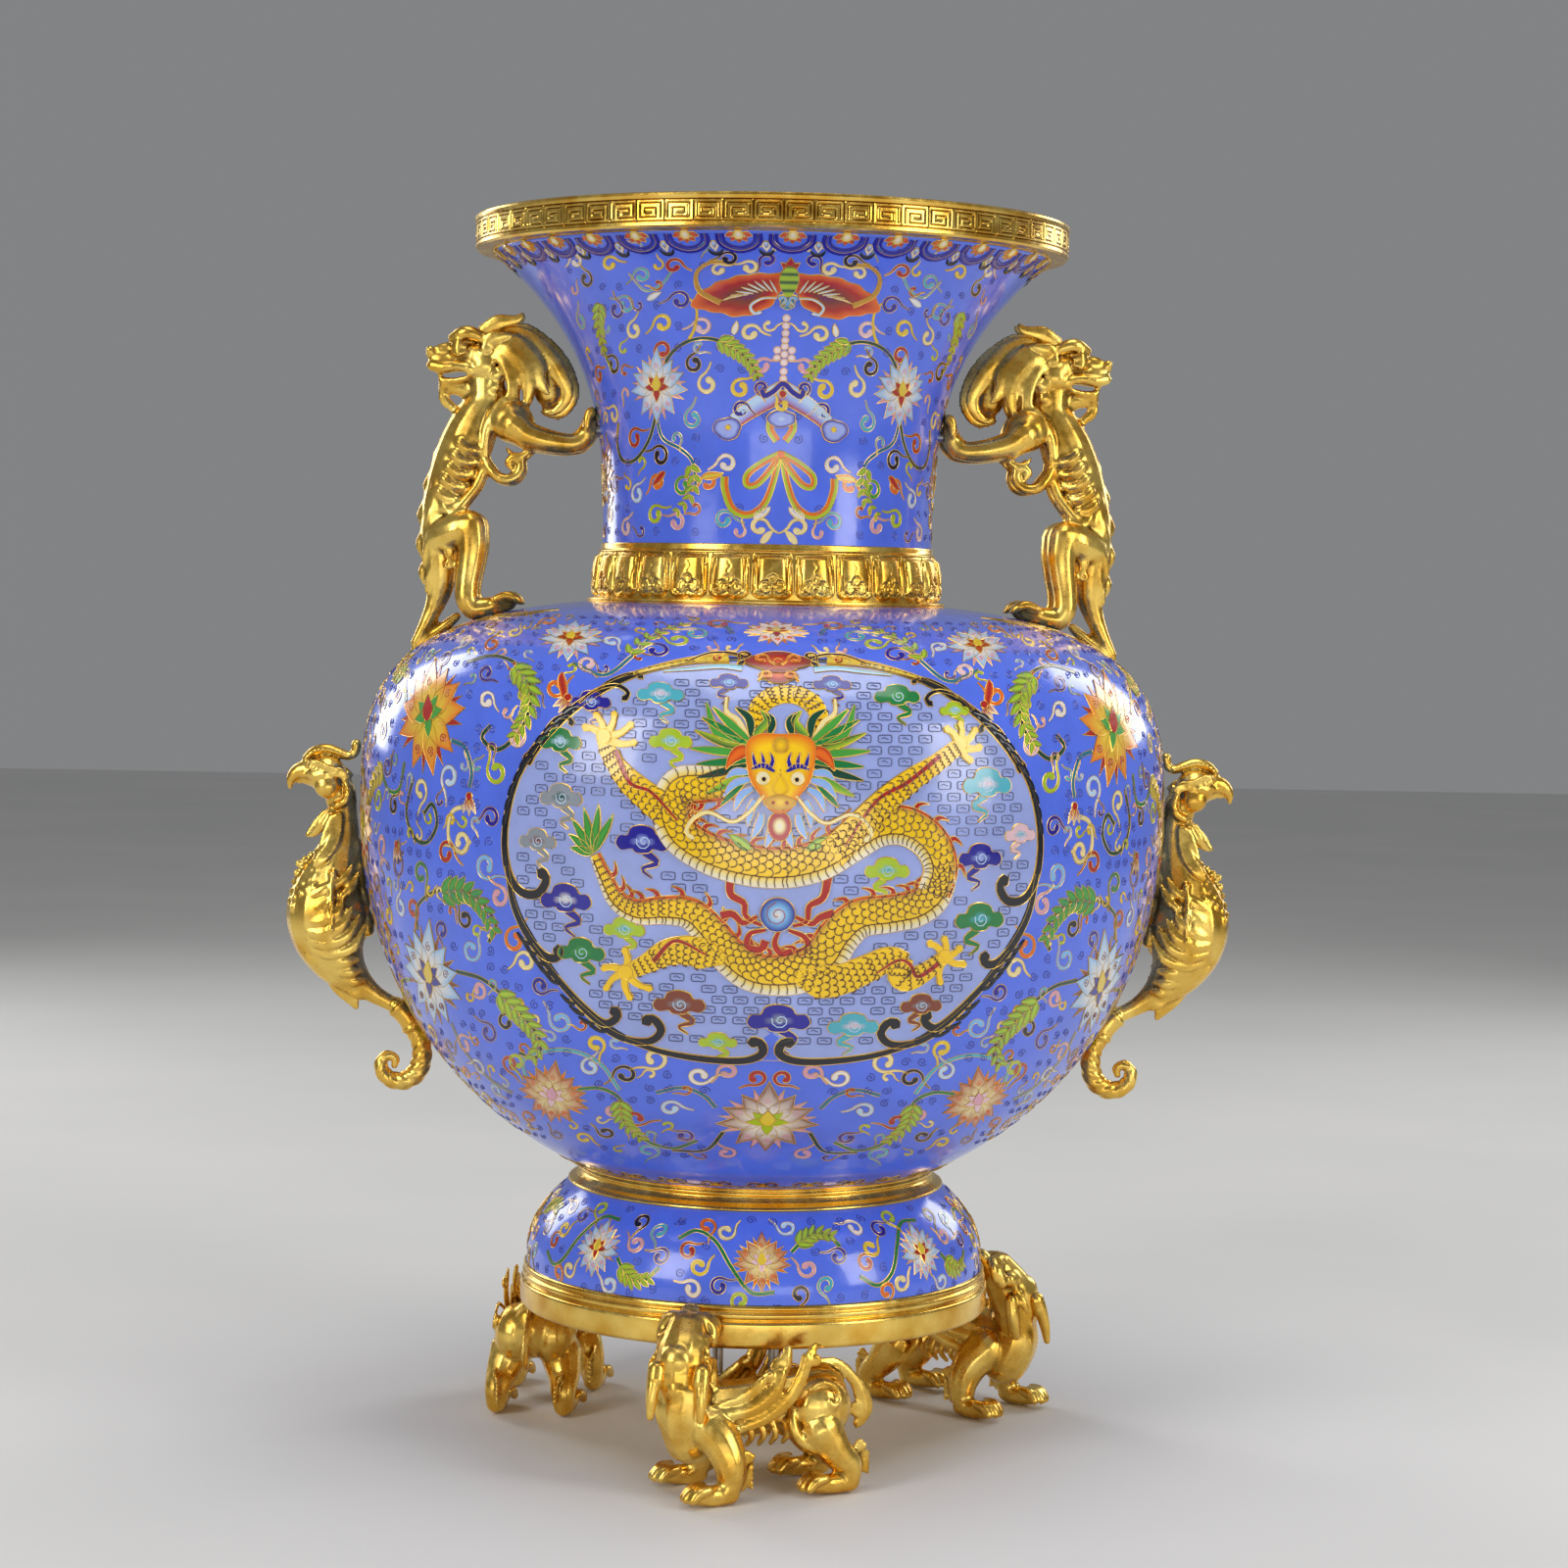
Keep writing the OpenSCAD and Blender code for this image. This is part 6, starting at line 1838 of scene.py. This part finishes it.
def dragon():
    """The whole dragon."""
    a = np.linspace(-0.6, np.pi + 0.5, 12)
    parts = [scaled_body([(4 + 14 * math.cos(t), 58 + 12.5 * math.sin(t)) for t in a], [3.6, 4.6, 4.6, 3.6],
                         -1, False, 2)]
    parts.append(scaled_body([(78, -4), (76, -17), (66, -26), (52, -29), (38, -31), (29, -39), (22, -50),
                              (9, -57), (-8, -57), (-20, -49), (-29, -38), (-38, -30),
                              (-50, -29), (-62, -30), (-72, -25), (-78, -15), (-83, -5)],
                              [4, 8, 8, 8.5, 9.5, 9.5, 8.5, 7.5, 6.5, 5.2, 3.6, 2], -1))
    parts.append(scaled_body([(-20, 30), (-33, 29), (-44, 27), (-48, 17), (-44, 6), (-32, -2), (-16, -7),
                              (2, -8.5), (19, -5), (33, 3), (46, 10), (59, 10), (70, 3), (75, -8),
                              (72, -19)], [7, 8, 8, 8.4, 8.6, 8.6, 8.4, 8.2, 8, 7.6], 1, True, 5))
    parts += [scaled_body([(-47, 14), (-58, 22), (-68, 30), (-76, 40), (-79, 47)], [7, 6.5, 5.6, 4.2, 3.4],
                          1, False, 6),
              scaled_body([(24, -2), (36, 10), (47, 21), (60, 31), (73, 39), (83, 46)],
                          [7, 6.6, 6, 5.4, 4.2, 3.4], -1, False, 7),
              scaled_body([(-22, -50), (-30, -48), (-39, -46.5), (-48, -48), (-58, -54), (-66, -58)],
                          [2.5, 7.4, 6.6, 5.8, 4.4, 3.4], 1, False, 6),
              scaled_body([(10, -57), (20, -60), (30, -59), (42, -54), (53, -49), (61, -50)],
                          [3, 8, 7.4, 6.6, 6, 3], -1, False, 6),
              scaled_body([(59, -49), (57, -57), (61, -60), (70, -56), (78, -50)], [4.6, 5.4, 5, 4.2, 3.2],
                          1, False, 7)]
    parts += [talons(-79, 48, [(-90, 52), (-84, 59), (-74, 60), (-65, 55), (-63, 46)]),
              talons(84, 47, [(76, 55), (84, 58), (93, 55), (96, 46), (91, 39)]),
              talons(-67, -58, [(-68, -46), (-79, -57), (-77, -68), (-64, -72), (-54, -66)]),
              talons(79, -49, [(70, -42), (78, -39), (88, -44), (91, -53), (78, -63)])]
    for turn, length in ((70, 20), (92, 22), (112, 21), (134, 19), (155, 15), (178, 12)):
        parts.append(leaf(-83, -4, length, 2.0, turn, "green", "leaf", -0.12, 5))
    parts += [vine(points, "red", 1.3, 0.5, 8)
              for points in ([(46, -56), (56, -50), (62, -52), (66, -58), (76, -52)],
                             [(-44, 12), (-56, 24), (-66, 28), (-73, 42)],
                             [(30, 2), (44, 22), (58, 30), (74, 42)], [(-30, -48), (-44, -42), (-54, -52)])]
    parts += [dragon_head(), pearl()]
    return join(parts)


CLOUDS = [(-86, 64, 0.9, "cobalt", "lavender", 1), (-22, 76, 0.8, "cobalt", "sky", -1),
          (24, 76, 0.8, "cobalt", "sky", 1), (-60, 2, 1.15, "cobalt", "lavender", 1),
          (96, -4, 1.05, "cobalt", "lavender", -1), (-97, -26, 1.2, "cobalt", "white", 1),
          (3, -80, 1.3, "cobalt", "grey", 1), (-101, 45, 1.0, "green", "pale", 1),
          (54, 70, 1.0, "green", "leaf", 1), (-89, -50, 1.1, "green", "leaf", 1),
          (97, -32, 1.2, "green", "turquoise", -1), (-53, 69, 1.0, "turquoise", "pink", 1),
          (99, 29, 1.2, "turquoise", "pink", -1), (37, -83, 1.1, "turquoise", "pink", -1),
          (-48, 47, 0.9, "lime", "sky", 1), (50, -9, 0.95, "lime", "turquoise", -1),
          (-68, -38, 0.9, "lime", "turquoise", 1), (82, 63, 0.7, "lime", "sky", 1),
          (-24, -92, 0.8, "lime", "turquoise", 1), (-112, 0, 0.9, "grey", "brown", 1),
          (-42, -73, 1.1, "brown", "grey", 1), (69, -73, 0.95, "brown", "grey", -1),
          (-100, 20, 1.0, "grey", "forest", 1), (118, 6, 0.8, "pink", "turquoise", -1)]
body_line = smooth_path([(78, -4), (76, -17), (66, -26), (38, -31), (22, -50), (-8, -57), (-29, -38),
                         (-50, -29), (-72, -25), (-86, 0)], 34)
neck_line = smooth_path([(-20, 30), (-44, 27), (-48, 14), (-32, -2), (2, -8), (33, 3), (59, 10), (75, -8)],
                        24)
limb_line = np.vstack([smooth_path(p, 7)
                       for p in ([(-50, 16), (-79, 50)], [(30, 6), (84, 48)], [(-36, -46), (-66, -58)],
                                 [(26, -58), (79, -50)], [(0, 14), (0, 64)], [(-30, 42), (32, 42)],
                                                   [(-22, 56), (26, 56)], [(-18, -24), (20, -24)],
                                                   [(-8, -42), (12, -42)], [(-18, 26), (20, 26)],
                                                   [(-88, 10), (-78, 12)])])
keep_out = np.vstack([body_line, neck_line, limb_line, [(c[0], c[1]) for c in CLOUDS],
                      [(c[0] + 2 * c[5], c[1] - 9 * c[2]) for c in CLOUDS],
                      [(0, 84), (-14, 84), (14, 84), (-72, 70), (72, 70), (-106, -18), (106, -18),
                       (-54, -86), (54, -86), (-6, -95), (6, -95), (-100, -50), (100, -50), (-30, 86),
                       (30, 86)]])
room = np.concatenate([np.full(len(body_line), 11.5), np.full(len(neck_line), 11.5),
                       np.full(len(limb_line), 8.5), np.full(len(CLOUDS), 9.0), np.full(len(CLOUDS), 5.5),
                       np.full(15, 8.0)])
whole_dragon = dragon()
print("dragon faces:", len(whole_dragon["faces"]))
sky = join(sky_cells(keep_out, room), [cloud(*c) for c in CLOUDS])
medallion_frame = join(both(frame_half()), crest_ruyi())
MEDALLION_Z = 306.0
for face, azimuth in (("front", 0), ("back", 180)):
    cells = Cells(belly_skin)
    cells.lay(join(medallion_ground, sky, medallion_frame), azimuth, MEDALLION_Z)
    cells.finish("medallion_" + face)
    cells = Cells(belly_skin)
    cells.lay(whole_dragon, azimuth, MEDALLION_Z)
    cells.finish("dragon_" + face)

# %% [markdown]
# The scrollwork is drawn for one quarter of the belly and mirrored. Dark whorls and small commas fill
# what the hooks leave open, so that no cell of enamel is too wide to hold.

# %% Belly scrollwork
BELLY_HOOKS = [
    (-105, 71, "orange"), (-163, 118, "cobalt"), (-55, 97, "cobalt"), (-186, 86, "cobalt"),
    (-148, 78, "cobalt"), (-145, 63, "white"), (-125, 46, "pink"),
    (-136, 30, "lime"), (-167, 26, "pale"), (-190, 19, "cream"), (-226, 28, "cobalt"), (-217, 10, "black"),
    (-139, 9, "cobalt"), (-158, -3, "cream"),
    (-142, -13, "sky"), (-169, -9, "red"), (-134, -27, "rose"), (-156, -39, "black"), (-174, -46, "cobalt"),
    (-199, -38, "red"), (-153, -54, "sky"),
    (-125, -47, "orange"), (-119, -57, "cream"), (-149, -74, "rose"), (-111, -68, "cobalt"),
    (-133, -90, "black"), (-146, -98, "cobalt"), (-100, -86, "sky"),
    (-128, -113, "lime"), (-82, -97, "yellow"), (-74, -139, "rose"), (-85, -111, "pale"),
    (-67, -114, "black"), (-53, -103, "cream"), (-62, -143, "red"),
    (-45, -134, "pale"), (-38, -155, "cobalt"), (-78, -157, "black"), (-133, -115, "red"),
    (-190, -20, "green"), (-213, -18, "cobalt"), (-212, -38, "pale"),
    (-19, -109, "rose"), (-6, -112, "red"), (-32, -112, "white"), (-26, 127, "red"),
    (-37, 114, "turquoise"), (-45, 107, "lime"), (-89, 86, "pink"),
    (-78, 104, "pale"), (-138, 110, "cream"), (-150, 98, "red"), (-118, 125, "orange"), (-176, 100, "pale"),
    (-206, 88, "turquoise"), (-224, 62, "red"),
    (-236, 44, "cream"), (-238, 12, "lime"), (-232, -10, "rose"), (-246, -30, "cobalt"),
    (-230, -44, "yellow"), (-238, -66, "red"), (-226, -88, "black"),
    (-206, -106, "cream"), (-186, -112, "cobalt"), (-168, -108, "rose"), (-160, -122, "pale"),
    (-178, -128, "orange"), (-150, -136, "sky"), (-256, 60, "cobalt"),
    (-262, 34, "pink"), (-258, 0, "turquoise"), (-268, -50, "cream"), (-258, -80, "orange"),
    (-240, 84, "lime"), (-250, 104, "black"), (-226, 112, "cream"),
    (-200, 122, "rose"), (-180, 130, "orange"), (-92, -165, "yellow"), (-18, -168, "rose"),
    (-110, -166, "cobalt"), (-128, -154, "red"), (-56, -170, "turquoise"),
    (-282, 78, "red"), (-284, -20, "cobalt"), (-280, -92, "pale"), (-216, -124, "lime"),
    (-196, -142, "black"), (-168, -148, "cream"), (-146, -160, "rose"),
]
BELLY_LOTUSES = [  # x, y, size, turn, tip, root, accent, crown, heart
    (-100, 106, 19, 0, "sky", "white", "rose", "red", "yellow"),
    (-187, 54, 29, 15, "orange", "yellow", "red", "leaf", "red"),
    (-190, -72, 28, -12, "sky", "white", "brown", "cobalt", "yellow"),
    (-108, -133, 22, -10, "red", "cream", "orange", "pink", "rose"),
    (-272, -2, 24, 0, "pink", "white", "red", "leaf", "yellow"),
    (-258, 128, 17, 0, "sky", "white", "rose", "red", "yellow"),
    (-250, -112, 20, 0, "rose", "white", "red", "leaf", "yellow"),
]


def belly_quarter():
    """Scrollwork from the front's middle line to the handle, on the left."""
    parts = []
    for k, (x, y, ink) in enumerate(BELLY_HOOKS):
        parts.append(hook(x, y, 5.6 + 0.9 * math.sin(k), 73 * k % 360, 270 if k % 2 else -270, ink, 1.15))
    for x, y, size, turn, *colours in BELLY_LOTUSES:
        parts.append(moved(lotus(size, *colours), x, y, turn))
    stems = [
        ([(-97, 86), (-80, 79), (-67, 92), (-56, 112), (-40, 127), (-24, 124), (-20, 115)], "teal"),
        ([(-164, 84), (-146, 89), (-129, 84), (-119, 71), (-119, 58), (-125, 47), (-136, 40), (-146, 45),
          (-141, 51)], "forest"),
        ([(-197, 24), (-203, 8), (-196, -3), (-184, -5), (-176, 4), (-180, 13), (-187, 8)], "forest"),
        ([(-206, 31), (-211, 18), (-224, 17), (-236, 26), (-248, 20), (-258, 10)], "green"),
        ([(-167, 43), (-157, 40), (-152, 30), (-153, 22)], "teal"),
        ([(-153, 14), (-165, 10), (-167, -2), (-158, -8), (-152, -2)], "cream"),
        ([(-196, -48), (-194, -36), (-176, -27), (-157, -25), (-144, -31), (-136, -41), (-141, -49)],
         "forest"),
        ([(-165, -66), (-147, -68), (-133, -76), (-120, -87), (-112, -99), (-116, -109), (-126, -107)],
         "forest"),
        ([(-122, -128), (-124, -112), (-112, -105), (-96, -102), (-80, -108), (-70, -124)], "turquoise"),
        ([(-92, -126), (-80, -124), (-70, -130), (-68, -146), (-58, -160), (-44, -166), (-32, -158)],
         "green"),
        ([(-52, -124), (-40, -120), (-30, -124), (-24, -132)], "teal"),
        ([(-212, 60), (-226, 74), (-244, 74), (-262, 84), (-268, 104)], "green"),
        ([(-214, -76), (-232, -80), (-246, -94)], "green"),
        ([(-266, -22), (-256, -40), (-248, -58), (-258, -70)], "teal"),
        ([(-278, 20), (-282, 40), (-272, 56), (-262, 62)], "teal"),
        ([(-176, -96), (-170, -112), (-154, -128), (-136, -136)], "teal"),
    ]
    parts += [vine(points, ink, 1.05) for points, ink in stems]
    parts += [leaf_spray([(-130, 82), (-121, 73), (-119, 60), (-125, 48)], 9, 11),
              leaf_spray([(-172, -28), (-157, -26), (-145, -32), (-138, -42)], 9, 11, "green", "leaf"),
              leaf_spray([(-136, -75), (-122, -86), (-113, -98), (-117, -108)], 9, 11),
              leaf_spray([(-68, 94), (-58, 110), (-44, 124)], 6, 8),
              leaf_spray([(-70, -132), (-68, -146), (-60, -158)], 7, 9),
              leaf_spray([(-232, 26), (-246, 20), (-256, 10)], 6, 9, "green", "yellow"),
              leaf_spray([(-228, 74), (-246, 75), (-262, 86)], 7, 9),
              leaf_spray([(-240, -88), (-250, -100)], 4, 8)]
    for x, y, turn in ((-153, 18, -90), (-213, -8, -90), (-238, -50, -60), (-98, 66, -120)):
        parts.append(join([moved(petal(9, 1.5, turn + d, "white", "red", 1, 1), x, y)
                           for d in (-28, 0, 28)], bead(x, y, 2, "red", "red", layer=2)))
    parts.append(leaf(-102, 80, 17, 2.4, -100, "orange", "red", 0.3, 1))
    spots = np.array([(-8.5 * i - 4, 8.5 * j - 172) for i in range(35) for j in range(37)])
    taken = np.array([h[:2] for h in BELLY_HOOKS] + [p[:2] for p in BELLY_LOTUSES] + [(0, -140), (0, 120)])
    reach = np.array([9.0] * len(BELLY_HOOKS) + [p[2] + 2 for p in BELLY_LOTUSES] + [33, 20])
    clear = np.all(np.linalg.norm(spots[:, None] - taken, axis=2) > reach, axis=1)
    clear &= ((spots[:, 0] / 138) ** 2 + ((spots[:, 1] + 5) / 106) ** 2 > 1)
    edge = math.radians(89) * np.interp(np.interp(MEDALLION_Z, belly_skin.z, belly_skin.y) + spots[:, 1],
                                        belly_skin.y, belly_skin.r)
    clear &= -spots[:, 0] < edge - 3
    parts += [whorl(x, y, 2.7, 37 * x, 1 if k % 2 else -1) if k % 3 else comma(x, y, k)
              for k, (x, y) in enumerate(spots[clear])]
    return join(parts)


quarter = belly_quarter()
middle = join(moved(lotus(24, "brown", "white", "rose", "lime", "yellow"), 0, -141),
              moved(lotus(15, "pink", "white", "orange", "red", "yellow"), 0, 118),
              both(vine([(-20, -150), (-28, -166), (-44, -168)], "forest", 1.0)))
low_border = both(join(hook(-4.4, 4.4, 4.0, 250, 250, "cobalt", 0.9, 1),
                       petal(6.0, 1.3, 60, "cream", "red", 2, 1.6)))
low_border = join(low_border, bead(0, 4, 1.9, "yellow", "orange", layer=3))
for face, azimuth in (("front", 0), ("back", 180)):
    for side, shape in (("left", quarter), ("right", moved(quarter, flip=True))):
        cells = Cells(belly_skin)
        cells.lay(shape, azimuth, MEDALLION_Z)
        if side == "left":
            cells.lay(middle, azimuth, MEDALLION_Z)
        cells.finish("belly_scroll_" + face + "_" + side)
cells = Cells(belly_skin)
for k in range(28):
    cells.lay(low_border, k * 360 / 28, BELLY_Z + 1.5)
cells.finish("belly_border")

# %% [markdown]
# ### The foot
# Eight lotuses on a wave of vine go round the foot, red and blue in turn.

# %% Foot ornament
def foot_repeat(tip, root, accent, hand):
    """An eighth of the foot's border, with its lotus in the middle."""
    parts = [moved(lotus(14, tip, root, accent, "red" if tip == "sky" else "pink", "yellow"), 0, -1),
             vine([(-40, 9 * hand), (-31, 14 * hand), (-22, 9 * hand), (-14, -4 * hand), (-5, -15 * hand),
                   (6, -15 * hand)], "green", 0.95),
             vine([(14, 4 * hand), (22, 12 * hand), (31, 13 * hand), (38, 6 * hand)], "green", 0.95),
             leaf_spray([(17, 8 * hand), (25, 13 * hand), (33, 12 * hand)], 6, 8)]
    hooks = [(-30, -4, "yellow"), (-20, -13, "cobalt"), (-33, -15, "white"), (22, -4, "rose"),
             (31, -12, "turquoise"), (18, -16, "black"), (-17, 14, "cream"), (-35, 3, "red"),
             (37, 1, "cobalt"), (12, 17, "pale"), (-10, -19, "lime"), (-26, 17, "orange")]
    parts += [hook(x, y * hand, 4.6, 61 * k % 360, 265 if k % 2 else -265, ink, 1.0)
              for k, (x, y, ink) in enumerate(hooks)]
    spots = [(-39, -8), (-26, 6), (-26, -20), (26, 4), (38, -18), (36, 16), (5, 20), (-5, 21), (-38, 18),
             (24, 20), (8, -22), (-38, -20)]
    parts += [whorl(x, y * hand, 2.5, 50 * k) for k, (x, y) in enumerate(spots)]
    return join(parts)


cells = Cells(foot_skin)
red_repeat, blue_repeat = foot_repeat("red", "cream", "orange", 1), foot_repeat("sky", "white", "rose", -1)
for k in range(8):
    cells.lay(red_repeat if k % 2 == 0 else blue_repeat, 45 * k, 106)
cells.finish("foot_cloisonne")

# %% [markdown]
# ## Inside and underneath
# A steel rod clamps neck, body and foot together, and studs with nuts hold the castings. The packed
# model already has their true shapes, so they only need their finish.

# %% Rod, studs and nuts
showing = {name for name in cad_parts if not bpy.data.objects[name].hide_render}
for name in sorted(showing):
    finish = gilt_inside if name == "base_plate" else steel
    for material_slot in bpy.data.objects[name].material_slots:
        material_slot.material = finish
print("frame parts left showing:", len(showing))
